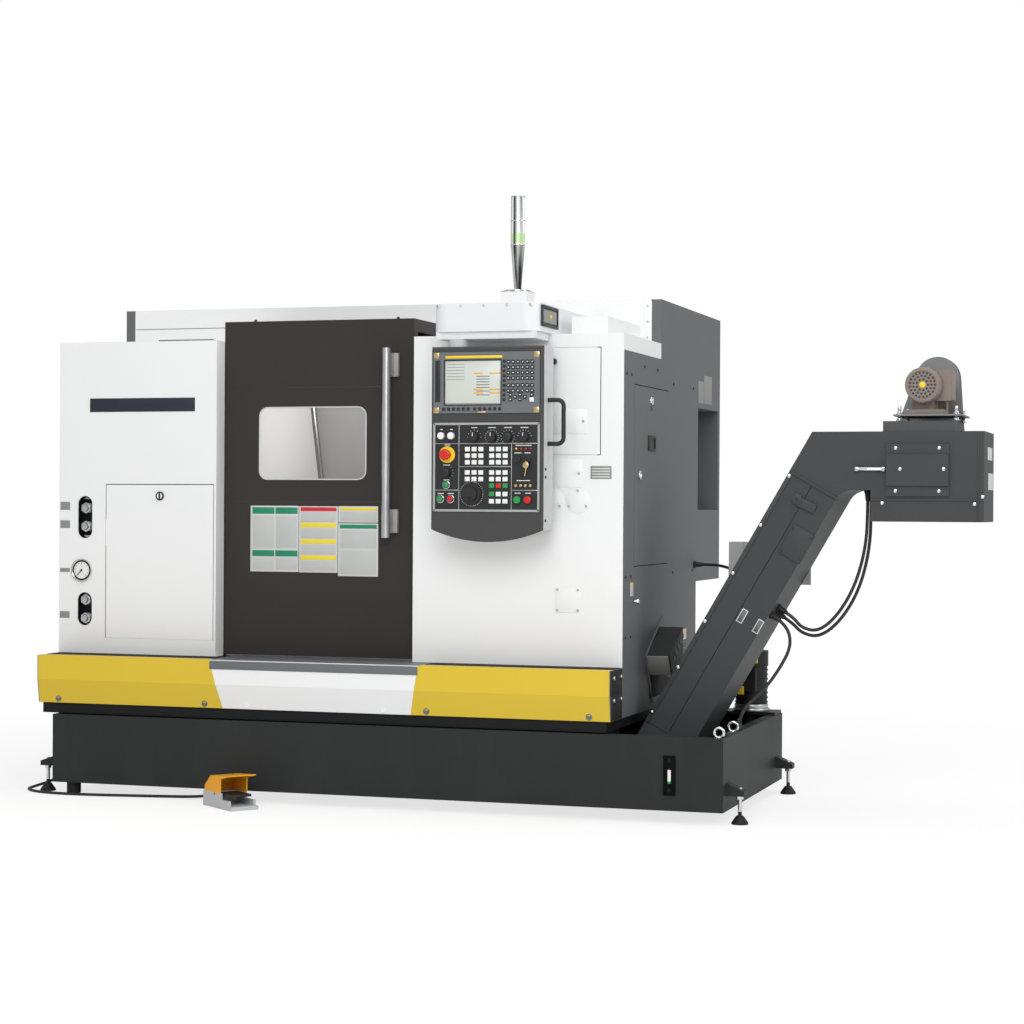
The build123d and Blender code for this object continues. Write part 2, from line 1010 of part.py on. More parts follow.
with BuildPart() as rear_panel:
    rear_outline = [
        (rear_step_y, skirt_low),
        (rear_step_y, rear_step_z),
        (body_rear, rear_step_z),
        (body_rear, body_top - sheet),
        (body_rear - sheet, body_top - sheet),
        (body_rear - sheet, rear_step_z + sheet),
        (rear_step_y - sheet, rear_step_z + sheet),
        (rear_step_y - sheet, skirt_low),
    ]
    prism_x(rear_outline, body_left + sheet, -sheet)
    rod_y(inlet_x, rear_step_y - overrun, rear_step_y + overrun, inlet_z, inlet_radius, Mode.SUBTRACT)
write(rear_panel, "rear_panel")

with BuildPart() as upper_cover:
    block(body_left + sheet, -sheet, rear_start, body_rear, body_top - sheet, body_top)
    block(
        body_left + sheet + flange_width,
        -sheet - flange_width,
        rear_start,
        rear_start + sheet,
        front_top,
        body_top,
    )
    for corner_x in (body_left + sheet, -sheet - flange_width):
        block(
            corner_x,
            corner_x + flange_width,
            rear_start - overrun,
            rear_start + sheet,
            body_top - sheet,
            body_top + overrun,
            Mode.SUBTRACT,
        )
write(upper_cover, "upper_cover")

with BuildPart() as roof_panel:
    roof_outline = [
        (body_left, roof_slot_rear),
        (left_panel_right, roof_slot_rear),
        (left_panel_right, roof_gap_rear),
        (right_panel_left, roof_gap_rear),
        (right_panel_left, sheet),
        (0, sheet),
        (0, rear_start),
        (-sheet, rear_start),
        (-sheet, rear_start + sheet),
        (body_left + sheet, rear_start + sheet),
        (body_left + sheet, rear_start),
        (body_left, rear_start),
    ]
    prism_z(roof_outline, front_top - sheet, front_top)
    for rim_x in (body_left, -sheet):
        block(rim_x, rim_x + sheet, sheet, rear_start, front_top - cap_drop, front_top)
    block(
        roof_box_left,
        roof_box_right,
        roof_box_front,
        roof_box_rear,
        front_top - sheet,
        front_top + roof_box_height,
    )
    block(
        roof_box_left + sheet,
        roof_box_right - sheet,
        roof_box_front + sheet,
        roof_box_rear - sheet,
        front_top - sheet - overrun,
        front_top + roof_box_height - sheet,
        Mode.SUBTRACT,
    )
write(roof_panel, "roof_panel")

# Front door, its glass, handle and rails
door_rear = door_front + door_depth
with BuildPart() as front_door:
    block(door_left, door_right, door_front, door_rear, door_low, door_top)
    block(door_left, door_right, door_front, hood_rear, door_top - hood_drop, door_top)
    block(
        door_left + sheet,
        door_right - sheet,
        door_front + sheet,
        door_rear + overrun,
        door_low + sheet,
        door_top - sheet,
        Mode.SUBTRACT,
    )
    block(
        door_left + sheet,
        door_right - sheet,
        door_front + sheet,
        hood_rear - sheet,
        door_top - hood_drop - overrun,
        door_top - sheet,
        Mode.SUBTRACT,
    )
    for hanger_left in (door_left + hanger_inset, door_right - hanger_inset - hanger_length):
        block(
            hanger_left,
            hanger_left + hanger_length,
            upper_rail_y - rail_width / 2,
            upper_rail_y + rail_width / 2,
            front_top + upper_rail_height + run_gap,
            door_top - sheet,
        )
    with BuildSketch(Plane.XZ.offset(-door_front - overrun)):
        with Locations(((window_left + window_right) / 2, (window_low + window_top) / 2)):
            RectangleRounded(window_right - window_left, window_top - window_low, window_round)
    extrude(amount=2 * overrun, mode=Mode.SUBTRACT)
write(front_door, "front_door")

with BuildPart() as door_window:
    with BuildSketch(Plane.XZ.offset(-door_front - sheet - glass_thick)):
        with Locations(((window_left + window_right) / 2, (window_low + window_top) / 2)):
            RectangleRounded(
                window_right - window_left + 2 * glass_lap,
                window_top - window_low + 2 * glass_lap,
                window_round,
            )
    extrude(amount=glass_thick)
write(door_window, "door_window")

with BuildPart() as door_handle:
    rod_z(handle_x, handle_y, handle_low, handle_top, handle_radius)
    for bracket_z in (handle_low + bracket_inset, handle_top - bracket_inset - bracket_height):
        block(
            handle_x - bracket_width / 2,
            handle_x + bracket_width / 2,
            handle_y,
            door_front,
            bracket_z,
            bracket_z + bracket_height,
        )
write(door_handle, "door_handle")

with BuildPart() as door_rails:
    block(
        rail_left,
        door_right,
        rail_y - rail_width / 2,
        rail_y + rail_width / 2,
        base_top,
        door_low - run_gap,
    )
    block(
        rail_left,
        door_right - sheet - run_gap,
        upper_rail_y - rail_width / 2,
        upper_rail_y + rail_width / 2,
        front_top,
        front_top + upper_rail_height,
    )
write(door_rails, "door_rails")

# Slant bed and what it carries
slope = Plane(
    origin=(0, axis_y, axis_z),
    x_dir=(1, 0, 0),
    z_dir=(0, -sin(radians(slant)), cos(radians(slant))),
)


def on_slope(along, square):
    """The (y, z) place of a point given along and square to the slope."""
    place = slope.from_local_coords((0, along, square))
    return place.Y, place.Z


bed_toe = on_slope(bed_lower, -bed_drop)
bed_crest = on_slope(bed_upper, -bed_drop)
bed_outline = [
    bed_toe,
    bed_crest,
    (bed_rear, bed_crest[1]),
    (bed_rear, base_top),
    (bed_front, base_top),
    (bed_front, bed_toe[1] - (bed_front - bed_toe[0])),
]

with BuildPart() as bed_body:
    prism_x(bed_outline, bed_left, bed_right)

with BuildPart(slope) as bed_ways:
    for way in (sub_way_low, sub_way_high, main_way_low, main_way_high):
        block(bed_left, bed_right, way - way_width / 2, way + way_width / 2, -bed_drop, -way_drop)
    for bearer_left in (bed_left, bed_right - bearer_length):
        block(
            bearer_left,
            bearer_left + bearer_length,
            screw_slope - bearer_width / 2,
            screw_slope + bearer_width / 2,
            -bed_drop,
            -way_drop,
        )
    rod_x(bed_left, bed_right, screw_slope, -screw_drop, screw_radius + bore_gap, Mode.SUBTRACT)

with BuildPart() as slant_bed:
    add(bed_body.part)
    add(bed_ways.part)
write(slant_bed, "slant_bed")

with BuildPart(slope) as ball_screw:
    rod_x(bed_left, bed_right, screw_slope, -screw_drop, screw_radius)
write(ball_screw, "ball_screw")

with BuildPart() as headstock:
    block(head_left, head_right, axis_y - head_half, axis_y + head_half, base_top, axis_z + head_half)
    fillet(headstock.edges().filter_by(Axis.X).group_by(Axis.Z)[-1], head_round)
    rod_x(
        head_left - overrun,
        head_right + overrun,
        axis_y,
        axis_z,
        spindle_radius + bore_gap,
        Mode.SUBTRACT,
    )
write(headstock, "headstock")

with BuildPart() as spindle:
    rod_x(spindle_left, nose_left, axis_y, axis_z, spindle_radius)
    rod_x(nose_left, nose_right, axis_y, axis_z, nose_radius)
    rod_x(spindle_left - overrun, nose_right + overrun, axis_y, axis_z, spindle_bore, Mode.SUBTRACT)
write(spindle, "spindle")


def jaws_on(face_x, outward):
    """Three soft jaws standing on a chuck face."""
    across = Plane(origin=(face_x, axis_y, axis_z), x_dir=(0, 0, 1), z_dir=(outward, 0, 0))
    with BuildSketch(across) as jaws:
        with PolarLocations((jaw_inner + jaw_outer) / 2, jaw_count):
            Rectangle(jaw_outer - jaw_inner, jaw_width)
    extrude(jaws.sketch, amount=jaw_length, dir=(outward, 0, 0))


chuck_face = nose_right + chuck_length
with BuildPart() as chuck:
    rod_x(nose_right, chuck_face, axis_y, axis_z, chuck_radius)
    rod_x(nose_right - overrun, chuck_face + overrun, axis_y, axis_z, chuck_bore, Mode.SUBTRACT)
    with BuildSketch(Plane(origin=(chuck_face, axis_y, axis_z), x_dir=(0, 0, 1), z_dir=(1, 0, 0))):
        with PolarLocations(chuck_radius / 2, jaw_count):
            Rectangle(chuck_radius + overrun, chuck_slot_width)
    extrude(amount=-chuck_slot_depth, mode=Mode.SUBTRACT)
write(chuck, "chuck")

with BuildPart() as chuck_jaws:
    jaws_on(chuck_face, 1)
write(chuck_jaws, "chuck_jaws")

saddle_base = -way_drop + run_gap
saddle_face = saddle_base + saddle_thick
with BuildPart(slope) as saddle:
    block(saddle_left, saddle_right, saddle_low, saddle_high, saddle_base, saddle_face)
    nut_middle = (saddle_left + saddle_right) / 2
    block(
        nut_middle - nut_half,
        nut_middle + nut_half,
        screw_slope - nut_half,
        screw_slope + nut_half,
        -screw_drop - screw_radius / 2,
        saddle_base,
    )
    rod_x(
        nut_middle - nut_half - overrun,
        nut_middle + nut_half + overrun,
        screw_slope,
        -screw_drop,
        screw_radius + run_gap,
        Mode.SUBTRACT,
    )
write(saddle, "saddle")

slide_base = saddle_face + run_gap
with BuildPart(slope) as turret_slide:
    block(
        saddle_left + slide_inset,
        saddle_right - slide_inset,
        saddle_low + slide_inset,
        saddle_high,
        slide_base,
        slide_base + slide_thick,
    )
    block(
        disc_right + run_gap,
        saddle_right - slide_inset,
        turret_slope - turret_half,
        turret_slope + turret_half,
        slide_base,
        turret_lift,
    )
    rod_x(
        disc_right - overrun,
        disc_right + hub_length + run_gap,
        turret_slope,
        0,
        hub_radius + bore_gap,
        Mode.SUBTRACT,
    )
write(turret_slide, "turret_slide")

with BuildPart(slope) as turret_disc:
    rod_x(disc_left, disc_right, turret_slope, 0, turret_disc_radius)
    rod_x(disc_right, disc_right + hub_length, turret_slope, 0, hub_radius)
    for station in range(tool_count):
        turn = 2 * pi * station / tool_count
        reach = turret_disc_radius + tool_reach / 2
        place = (turret_slope + reach * cos(turn), reach * sin(turn))
        angle = 360 * station / tool_count
        with Locations(Location(((disc_left + disc_right) / 2, *place), (angle, 0, 0))):
            Box(disc_right - disc_left - 2 * tool_inset, tool_reach + overrun, tool_width)
write(turret_disc, "turret_disc")

with BuildPart(slope) as sub_spindle_head:
    block(sub_left, sub_right, sub_carriage_low, sub_carriage_high, saddle_base, -sub_rise)
    block(sub_left, sub_right, -sub_half, sub_half, -sub_rise, sub_lift)
    rod_x(sub_left - overrun, sub_right + overrun, 0, 0, sub_shaft_radius + bore_gap, Mode.SUBTRACT)
write(sub_spindle_head, "sub_spindle_head")

sub_chuck_right = sub_left - sub_chuck_gap
sub_face = sub_chuck_right - sub_chuck_length
with BuildPart() as sub_chuck:
    rod_x(sub_face, sub_chuck_right, axis_y, axis_z, chuck_radius)
    rod_x(sub_chuck_right, sub_chuck_right + sub_shaft_length, axis_y, axis_z, sub_shaft_radius)
    rod_x(
        sub_face - overrun,
        sub_chuck_right + sub_shaft_length + overrun,
        axis_y,
        axis_z,
        sub_bore,
        Mode.SUBTRACT,
    )
    jaws_on(sub_face, -1)
write(sub_chuck, "sub_chuck")

# Sheet lining of the working chamber
with BuildPart() as chamber_lining:
    for wall_x in (left_panel_right - bulkhead, chamber_right):
        block(wall_x, wall_x + bulkhead, roof_slot_rear, chamber_rear, base_top, front_top - sheet)
    rod_x(
        left_panel_right - bulkhead - overrun,
        left_panel_right + overrun,
        axis_y,
        axis_z,
        spindle_radius + seam,
        Mode.SUBTRACT,
    )
    lining_outline = [
        (lining_foot_y, bed_crest[1]),
        (lining_knee_y, lining_knee_z),
        (lining_knee_y, front_top - sheet),
        (lining_knee_y - bulkhead, front_top - sheet),
        (lining_knee_y - bulkhead, lining_knee_z),
        (lining_foot_y - bulkhead, bed_crest[1]),
    ]
    prism_x(lining_outline, left_panel_right + run_gap, chamber_right - run_gap)
write(chamber_lining, "chamber_lining")

# Pendant arm on the roof, with the signal tower
with BuildPart() as pendant_arm:
    block(arm_left, arm_right, arm_front, rear_start, front_top, arm_top)
    front_corners = pendant_arm.edges().filter_by(Axis.Z).group_by(Axis.Y)[0]
    fillet(front_corners, arm_round)
    block(
        arm_left + tier_inset,
        arm_right - tier_inset,
        arm_front + tier_inset,
        -sheet,
        front_top - tier_drop,
        front_top,
    )
    rod_z(
        swivel_x,
        swivel_y,
        front_top - tier_drop - overrun,
        front_top - tier_drop + swivel_rise + run_gap,
        swivel_radius + bore_gap,
        Mode.SUBTRACT,
    )
write(pendant_arm, "pendant_arm")

with BuildPart() as signal_tower:
    block(
        tower_x - tower_block / 2,
        tower_x + tower_block / 2,
        tower_y - tower_block / 2,
        tower_y + tower_block / 2,
        arm_top,
        arm_top + tower_block_height,
    )
    with BuildSketch(Plane.XZ.offset(-tower_y)):
        with BuildLine():
            Polyline(
                (tower_x, arm_top),
                (tower_x + tower_foot_radius, arm_top),
                (tower_x + tower_foot_radius, tower_taper_low),
                (tower_x + tower_radius, tower_lens_low),
                (tower_x + tower_radius, tower_top - tower_cap),
                (tower_x + tower_radius - tower_cap, tower_top),
                (tower_x, tower_top),
                close=True,
            )
        make_face()
    revolve(axis=Axis((tower_x, tower_y, 0), (0, 0, 1)))
write(signal_tower, "signal_tower")

# Swivelling pendant
pendant_rear = pendant_front + pendant_depth
pendant_middle = (pendant_left + pendant_right) / 2
with BuildPart() as pendant_box:
    with BuildSketch(Plane.XZ.offset(-pendant_rear)):
        with BuildLine():
            Polyline(
                (pendant_left, pendant_corner),
                (pendant_left, pendant_top),
                (pendant_right, pendant_top),
                (pendant_right, pendant_corner),
            )
            ThreePointArc(
                (pendant_right, pendant_corner),
                (pendant_middle, pendant_low),
                (pendant_left, pendant_corner),
            )
        make_face()
    extrude(amount=pendant_depth)
    fillet(pendant_box.faces().sort_by(Axis.Y)[0].edges(), pendant_round)
    block(
        screen_left,
        screen_right,
        pendant_front - overrun,
        pendant_front + screen_pocket,
        screen_low,
        screen_top,
        Mode.SUBTRACT,
    )
    block(
        panel_left,
        panel_right,
        pendant_front - overrun,
        pendant_front + panel_pocket,
        panel_foot,
        panel_head,
        Mode.SUBTRACT,
    )
    neck_top = front_top - tier_drop - run_gap
    rod_z(swivel_x, swivel_y, pendant_top, neck_top, neck_radius)
    rod_z(swivel_x, swivel_y, neck_top, neck_top + swivel_rise, swivel_radius)
write(pendant_box, "pendant_box")

screen_back = pendant_front + screen_pocket
with BuildPart() as screen_unit:
    block(screen_left, screen_right, screen_back - screen_thick, screen_back, screen_low, screen_top)
    screen_face = screen_back - screen_thick
    block(lcd_left, lcd_right, screen_face - overrun, screen_face + lcd_depth, lcd_low, lcd_top, Mode.SUBTRACT)
write(screen_unit, "screen_unit")

panel_back = pendant_front + panel_pocket
panel_face = panel_back - panel_thick
moving_places = {
    "emergency_stop": (stop_x, stop_z),
    "handwheel": (wheel_x, wheel_z),
    "mode_knob": (mode_x, knob_row_z),
    "feed_knob": (feed_x, knob_row_z),
    "speed_knob": (speed_x, knob_row_z),
    "cycle_start": (start_x, right_pair_z),
    "feed_hold": (hold_x, right_pair_z),
}


def key_field(x, z, columns, rows, pitch_z):
    """A field of membrane keys standing a little proud of the panel."""
    with BuildSketch(Plane.XZ.offset(-panel_face)) as keys:
        with Locations((x, z)):
            with GridLocations(key_pitch_x, pitch_z, columns, rows):
                Rectangle(key_width, key_height)
    extrude(keys.sketch, amount=key_proud, dir=(0, -1, 0))


with BuildPart() as operator_panel:
    block(panel_left, panel_right, panel_face, panel_back, panel_foot, panel_head)
    for key_x in (key_left_x, key_right_x):
        key_field(key_x, key_upper_z, 3, 3, key_upper_pitch)
        key_field(key_x, key_lower_z, 3, 2, key_lower_pitch)
    key_field(key_right_x, key_colour_z, 3, 1, key_upper_pitch)
    key_field(key_right_x, key_low_z, 3, 2, key_low_pitch)
    for lamp_x in (lamp_left_x, lamp_right_x):
        rod_y(lamp_x, panel_face - button_height, panel_face, lamp_z, button_radius)
    for fixed_x, fixed_z in ((rapid_x, knob_row_z), (side_knob_x, side_knob_z)):
        rod_y(fixed_x, panel_face - knob_height, panel_face, fixed_z, knob_radius)
    fixed_buttons = (
        (side_knob_x, side_button_z),
        (left_green_x, left_pair_z),
        (left_red_x, left_pair_z),
    )
    for fixed_x, fixed_z in fixed_buttons:
        rod_y(fixed_x, panel_face - button_height, panel_face, fixed_z, button_radius)
    rod_y(stop_x, panel_face - stop_ring_height, panel_face, stop_z, stop_ring_radius)
    for hole_x, hole_z in moving_places.values():
        rod_y(
            hole_x,
            panel_face - stop_ring_height - overrun,
            panel_back + overrun,
            hole_z,
            stem_radius + bore_gap,
            Mode.SUBTRACT,
        )
write(operator_panel, "operator_panel")


def stem(x, z, face):
    """The shaft of a control, from its head to inside the panel."""
    rod_y(x, face, panel_face + stem_length, z, stem_radius)


for knob_name in ("mode_knob", "feed_knob", "speed_knob"):
    knob_x, knob_z = moving_places[knob_name]
    with BuildPart() as knob:
        stem(knob_x, knob_z, panel_face - control_gap)
        rod_y(knob_x, panel_face - control_gap - knob_height, panel_face - control_gap, knob_z, knob_radius)
        front_rim = knob.faces().sort_by(Axis.Y)[0].edges()
        chamfer(front_rim, dimple_depth / 2)
    write(knob, knob_name)

for button_name in ("cycle_start", "feed_hold"):
    button_x, button_z = moving_places[button_name]
    with BuildPart() as button:
        button_rear = panel_face - button_travel - control_gap
        stem(button_x, button_z, button_rear)
        rod_y(button_x, button_rear - button_height, button_rear, button_z, button_radius)
        chamfer(button.faces().sort_by(Axis.Y)[0].edges(), dimple_depth / 2)
    write(button, button_name)

with BuildPart() as emergency_stop:
    ring_face = panel_face - stop_ring_height
    neck_rear = ring_face - stop_travel - control_gap
    stem(stop_x, stop_z, neck_rear)
    rod_y(stop_x, neck_rear - stop_neck_height, neck_rear, stop_z, stop_neck_radius)
    cap_rear = neck_rear - stop_neck_height
    rod_y(stop_x, cap_rear - stop_cap_height, cap_rear, stop_z, stop_cap_radius)
    fillet(emergency_stop.faces().sort_by(Axis.Y)[0].edges(), stop_cap_height / 2)
write(emergency_stop, "emergency_stop")

with BuildPart() as handwheel:
    wheel_rear = panel_face - control_gap
    stem(wheel_x, wheel_z, wheel_rear)
    rod_y(wheel_x, wheel_rear - wheel_height, wheel_rear, wheel_z, wheel_radius)
    grip_face = wheel_rear - wheel_height - wheel_grip_height
    rod_y(wheel_x, grip_face, wheel_rear - wheel_height, wheel_z, wheel_grip_radius)
    dimple_z = wheel_z - (wheel_grip_radius - 2 * dimple_radius)
    rod_y(wheel_x, grip_face - overrun, grip_face + dimple_depth, dimple_z, dimple_radius, Mode.SUBTRACT)
write(handwheel, "handwheel")

with BuildPart() as pendant_handle:
    with BuildLine() as grip_path:
        FilletPolyline(
            (pendant_right, swivel_y, grip_low),
            (pendant_right + grip_reach, swivel_y, grip_low),
            (pendant_right + grip_reach, swivel_y, grip_high),
            (pendant_right, swivel_y, grip_high),
            radius=grip_bend,
        )
    with BuildSketch(Plane(origin=grip_path.line @ 0, z_dir=grip_path.line % 0)):
        Circle(grip_radius)
    sweep()
write(pendant_handle, "pendant_handle")

# Chip conveyor
incline_run = tan(radians(incline))
incline_width = incline_thick / sin(radians(incline))


def upper_edge(z):
    """Where the upper face of the incline stands at a height."""
    return incline_x + (z - incline_z) / incline_run


def conveyor_outline(inset):
    """The side outline of the casing, drawn in by a wall."""
    shear = inset / sin(radians(incline))
    low, top = tank_floor + inset, head_top - inset
    left_edge = lambda z: upper_edge(z) + shear
    right_edge = lambda z: upper_edge(z) + incline_width - shear
    return [
        (trough_left + inset, low),
        (right_edge(low), low),
        (right_edge(neck_low + inset), neck_low + inset),
        (head_box_left + inset, neck_low + inset),
        (head_box_left + inset, head_box_low + inset),
        (head_box_right - inset, head_box_low + inset),
        (head_box_right - inset, top),
        (left_edge(top), top),
        (left_edge(trough_top - inset), trough_top - inset),
        (trough_left + inset, trough_top - inset),
    ]


def conveyor_shape(inset):
    """The side outline with the arch between incline and neck rounded."""
    with BuildSketch(mode=Mode.PRIVATE) as shape:
        Polygon(*conveyor_outline(inset), align=None)
        inner_corner = Vector(upper_edge(neck_low) + incline_width, neck_low)
        fillet(shape.vertices().sort_by_distance(inner_corner)[0], arch_radius + inset)
    return shape.sketch


with BuildPart() as conveyor_casing:
    with BuildSketch(Plane.XZ.offset(-conveyor_rear)):
        add(conveyor_shape(0))
    extrude(amount=conveyor_rear - conveyor_front)
    with BuildSketch(Plane.XZ.offset(conveyor_wall - conveyor_rear)):
        add(conveyor_shape(conveyor_wall))
    extrude(amount=conveyor_rear - conveyor_front - 2 * conveyor_wall, mode=Mode.SUBTRACT)
    block(
        trough_left + conveyor_wall,
        trough_open_right,
        conveyor_front + conveyor_wall,
        conveyor_rear - conveyor_wall,
        trough_top - overrun,
        trough_top + overrun,
        Mode.SUBTRACT,
    )
    block(
        discharge_left,
        discharge_right,
        conveyor_front + conveyor_wall,
        conveyor_rear - conveyor_wall,
        head_box_low - overrun,
        head_box_low + overrun,
        Mode.SUBTRACT,
    )
    block(
        bearing_left,
        bearing_right,
        conveyor_front - bearing_depth,
        conveyor_front,
        bearing_low,
        bearing_top,
    )
    block(
        bearing_left - bearing_side_lap,
        bearing_right + bearing_side_lap,
        conveyor_front - bearing_depth / 2,
        conveyor_front,
        bearing_low - bearing_lap,
        bearing_top + bearing_lap,
    )
    tension_place = conveyor_front - tension_y
    rod_x(bearing_left - tension_reach, bearing_left, tension_place, shaft_z, tension_radius)
    block(head_box_right, right_end, conveyor_front, conveyor_rear, head_box_low, head_top)
    rod_y(
        shaft_x,
        conveyor_front,
        conveyor_rear + overrun,
        shaft_z,
        shaft_radius + bore_gap,
        Mode.SUBTRACT,
    )
write(conveyor_casing, "conveyor_casing")

# Slat belt round a tail shoe and the head drum
belt_mid_z = (tank_floor + trough_top) / 2


def belt_bends(offset):
    """Four corners where the belt's two runs bend, a distance above and below its middle line."""
    half = tan(radians(incline) / 2) * offset
    low_bend = upper_edge(belt_mid_z) + incline_width / 2
    high_bend = upper_edge(shaft_z) + incline_width / 2
    return low_bend, high_bend, half


def belt_outline(radius):
    """The closed side outline of the belt loop at a radius from its middle line."""
    low_bend, high_bend, half = belt_bends(radius)
    Line((belt_tail_x, belt_mid_z + radius), (low_bend - half, belt_mid_z + radius))
    Line((low_bend - half, belt_mid_z + radius), (high_bend - half, shaft_z + radius))
    Line((high_bend - half, shaft_z + radius), (shaft_x, shaft_z + radius))
    ThreePointArc((shaft_x, shaft_z + radius), (shaft_x + radius, shaft_z), (shaft_x, shaft_z - radius))
    Line((shaft_x, shaft_z - radius), (high_bend + half, shaft_z - radius))
    Line((high_bend + half, shaft_z - radius), (low_bend + half, belt_mid_z - radius))
    Line((low_bend + half, belt_mid_z - radius), (belt_tail_x, belt_mid_z - radius))
    ThreePointArc(
        (belt_tail_x, belt_mid_z - radius),
        (belt_tail_x - radius, belt_mid_z),
        (belt_tail_x, belt_mid_z + radius),
    )


with BuildPart() as conveyor_belt:
    for belt_radius, belt_mode in ((belt_half, Mode.ADD), (belt_half - belt_thick, Mode.SUBTRACT)):
        with BuildSketch(Plane.XZ.offset(-(conveyor_rear - belt_edge))):
            with BuildLine():
                belt_outline(belt_radius)
            make_face()
        extrude(amount=conveyor_rear - conveyor_front - 2 * belt_edge, mode=belt_mode)
    slat_pitch = (trough_open_right - belt_tail_x) / slat_count
    for slat in range(slat_count):
        slat_x = belt_tail_x + slat * slat_pitch
        block(
            slat_x,
            slat_x + slat_width,
            conveyor_front + belt_edge,
            conveyor_rear - belt_edge,
            belt_mid_z + belt_half - belt_thick / 2,
            belt_mid_z + belt_half + slat_height,
        )
write(conveyor_belt, "conveyor_belt")

with BuildPart() as head_drum:
    drum_radius = belt_half - belt_thick - run_gap
    rod_y(shaft_x, conveyor_front + belt_edge, conveyor_rear - belt_edge, shaft_z, drum_radius)
    sprocket_front = conveyor_rear + sprocket_stand
    rod_y(shaft_x, conveyor_front, sprocket_front, shaft_z, shaft_radius)
    rod_y(shaft_x, sprocket_front, sprocket_front + sprocket_thick, shaft_z, sprocket_radius)
write(head_drum, "head_drum")

# Gear motor on its raised plate, with the chain guard behind it
platform_top = head_top + platform_rise
tray_low = platform_top + tray_lift
tray_top = tray_low + tray_thick
tray_left = platform_left + tray_left_inset
tray_right = platform_right + tray_right_reach
motor_rear = motor_front + motor_length
with BuildPart() as gear_motor:
    block(platform_left, platform_right, platform_front, platform_rear, head_top, platform_top)
    block(tray_left, tray_right, platform_front, platform_rear, tray_low, tray_top)
    for stud_x in (tray_left + tray_stud_inset, tray_right - tray_stud_inset):
        for stud_y in (platform_front + tray_stud_inset, platform_rear - tray_stud_inset):
            rod_z(stud_x, stud_y, platform_top, platform_top + tray_stud_height, tray_stud_radius)
    foot_low = motor_z - motor_radius
    block(
        motor_x - motor_foot_width / 2,
        motor_x + motor_foot_width / 2,
        platform_front + tray_stud_inset,
        motor_rear,
        tray_top,
        tray_top + motor_foot_height,
    )
    block(
        motor_x - motor_radius / 2,
        motor_x + motor_radius / 2,
        motor_front + motor_cap_length,
        motor_rear,
        tray_top,
        motor_z,
    )
    rod_y(motor_x, motor_front, motor_rear, motor_z, motor_radius)
    fillet(gear_motor.faces().sort_by(Axis.Y)[0].edges(), motor_cap_length / 4)
    block(
        motor_x,
        motor_x + motor_radius + terminal_width / 2,
        motor_front + motor_cap_length,
        motor_front + motor_cap_length + terminal_depth,
        motor_z - terminal_height / 2,
        motor_z + terminal_height / 2,
    )
    block(
        motor_x - gear_half,
        motor_x + gear_half,
        motor_rear,
        motor_rear + gear_length,
        tray_top,
        motor_z + gear_half,
    )
    rod_y(motor_x, motor_rear + gear_length, conveyor_rear + sprocket_stand, motor_z, shaft_radius)
    rod_y(
        motor_x,
        conveyor_rear + sprocket_stand,
        conveyor_rear + sprocket_stand + sprocket_thick,
        motor_z,
        sprocket_radius / 2,
    )
write(gear_motor, "gear_motor")


def guard_shape(inset):
    """A round-topped outline over both sprockets."""
    with BuildSketch(mode=Mode.PRIVATE) as shape:
        with Locations((motor_x + guard_shift, motor_z + guard_rise)):
            Circle(guard_upper_radius - inset)
        with Locations((shaft_x, shaft_z)):
            Circle(guard_lower_radius - inset)
        make_hull()
    return shape.sketch


guard_rear = conveyor_rear + guard_depth
with BuildPart() as chain_guard:
    with BuildSketch(Plane.XZ.offset(-guard_rear)):
        add(guard_shape(0))
    extrude(amount=guard_depth)
    with BuildSketch(Plane.XZ.offset(guard_wall - guard_rear)):
        add(guard_shape(guard_wall))
    extrude(amount=guard_depth - 2 * guard_wall, mode=Mode.SUBTRACT)
    for opening_x, opening_z in ((motor_x, motor_z), (shaft_x, shaft_z)):
        rod_y(
            opening_x,
            conveyor_rear - overrun,
            conveyor_rear + overrun,
            opening_z,
            shaft_radius + seam,
            Mode.SUBTRACT,
        )
write(chain_guard, "chain_guard")

# Coolant pump on a plate across the pan's rear corner
with BuildPart() as coolant_pump:
    block(
        pump_x - pump_flange,
        tank_right - tank_wall,
        pump_y - pump_flange / 2,
        tank_rear - tank_wall,
        tank_top,
        tank_top + pump_flange_thick,
    )
    rod_z(pump_x, pump_y, pump_tube_low, tank_top, pump_tube_radius)
    rod_z(pump_x, pump_y, tank_top + pump_flange_thick, pump_head_top - pump_cap_height, pump_radius)
    rod_z(pump_x, pump_y, pump_head_top - pump_cap_height, pump_head_top, pump_cap_radius)
    block(
        pump_x - pump_box_width / 2,
        pump_x + pump_box_width / 2,
        pump_y - pump_radius - pump_box_depth,
        pump_y,
        pump_box_low,
        pump_box_low + pump_box_height,
    )
write(coolant_pump, "coolant_pump")

# Vented box on the right side and the junction box behind the incline
with BuildPart() as side_box:
    side_box_outline = [
        (side_box_front + side_box_tuck, side_box_low),
        (side_box_rear, side_box_low),
        (side_box_rear, side_box_top),
        (side_box_front, side_box_lip),
    ]
    prism_x(side_box_outline, 0, side_box_reach)
    offset(amount=-sheet, openings=side_box.faces().sort_by(Axis.X)[0])
write(side_box, "side_box")

with BuildPart() as junction_box:
    block(
        junction_left,
        stay_right,
        conveyor_rear,
        conveyor_rear + sheet,
        stay_low,
        stay_top,
    )
    block(
        junction_left,
        junction_right,
        conveyor_rear + sheet,
        conveyor_rear + sheet + junction_depth,
        junction_low,
        junction_top,
    )
write(junction_box, "junction_box")

# Foot pedal
pedal_frame = Plane(
    origin=(pedal_x, pedal_y, 0),
    x_dir=(cos(radians(pedal_turn)), sin(radians(pedal_turn)), 0),
    z_dir=(0, 0, 1),
)
pedal_side = Plane(origin=pedal_frame.origin, x_dir=pedal_frame.x_dir, z_dir=-pedal_frame.y_dir)
pin_x = treadle_back + treadle_pin * 2
pin_z = treadle_z + treadle_thick / 2
inner_half = pedal_half_width - pedal_wall

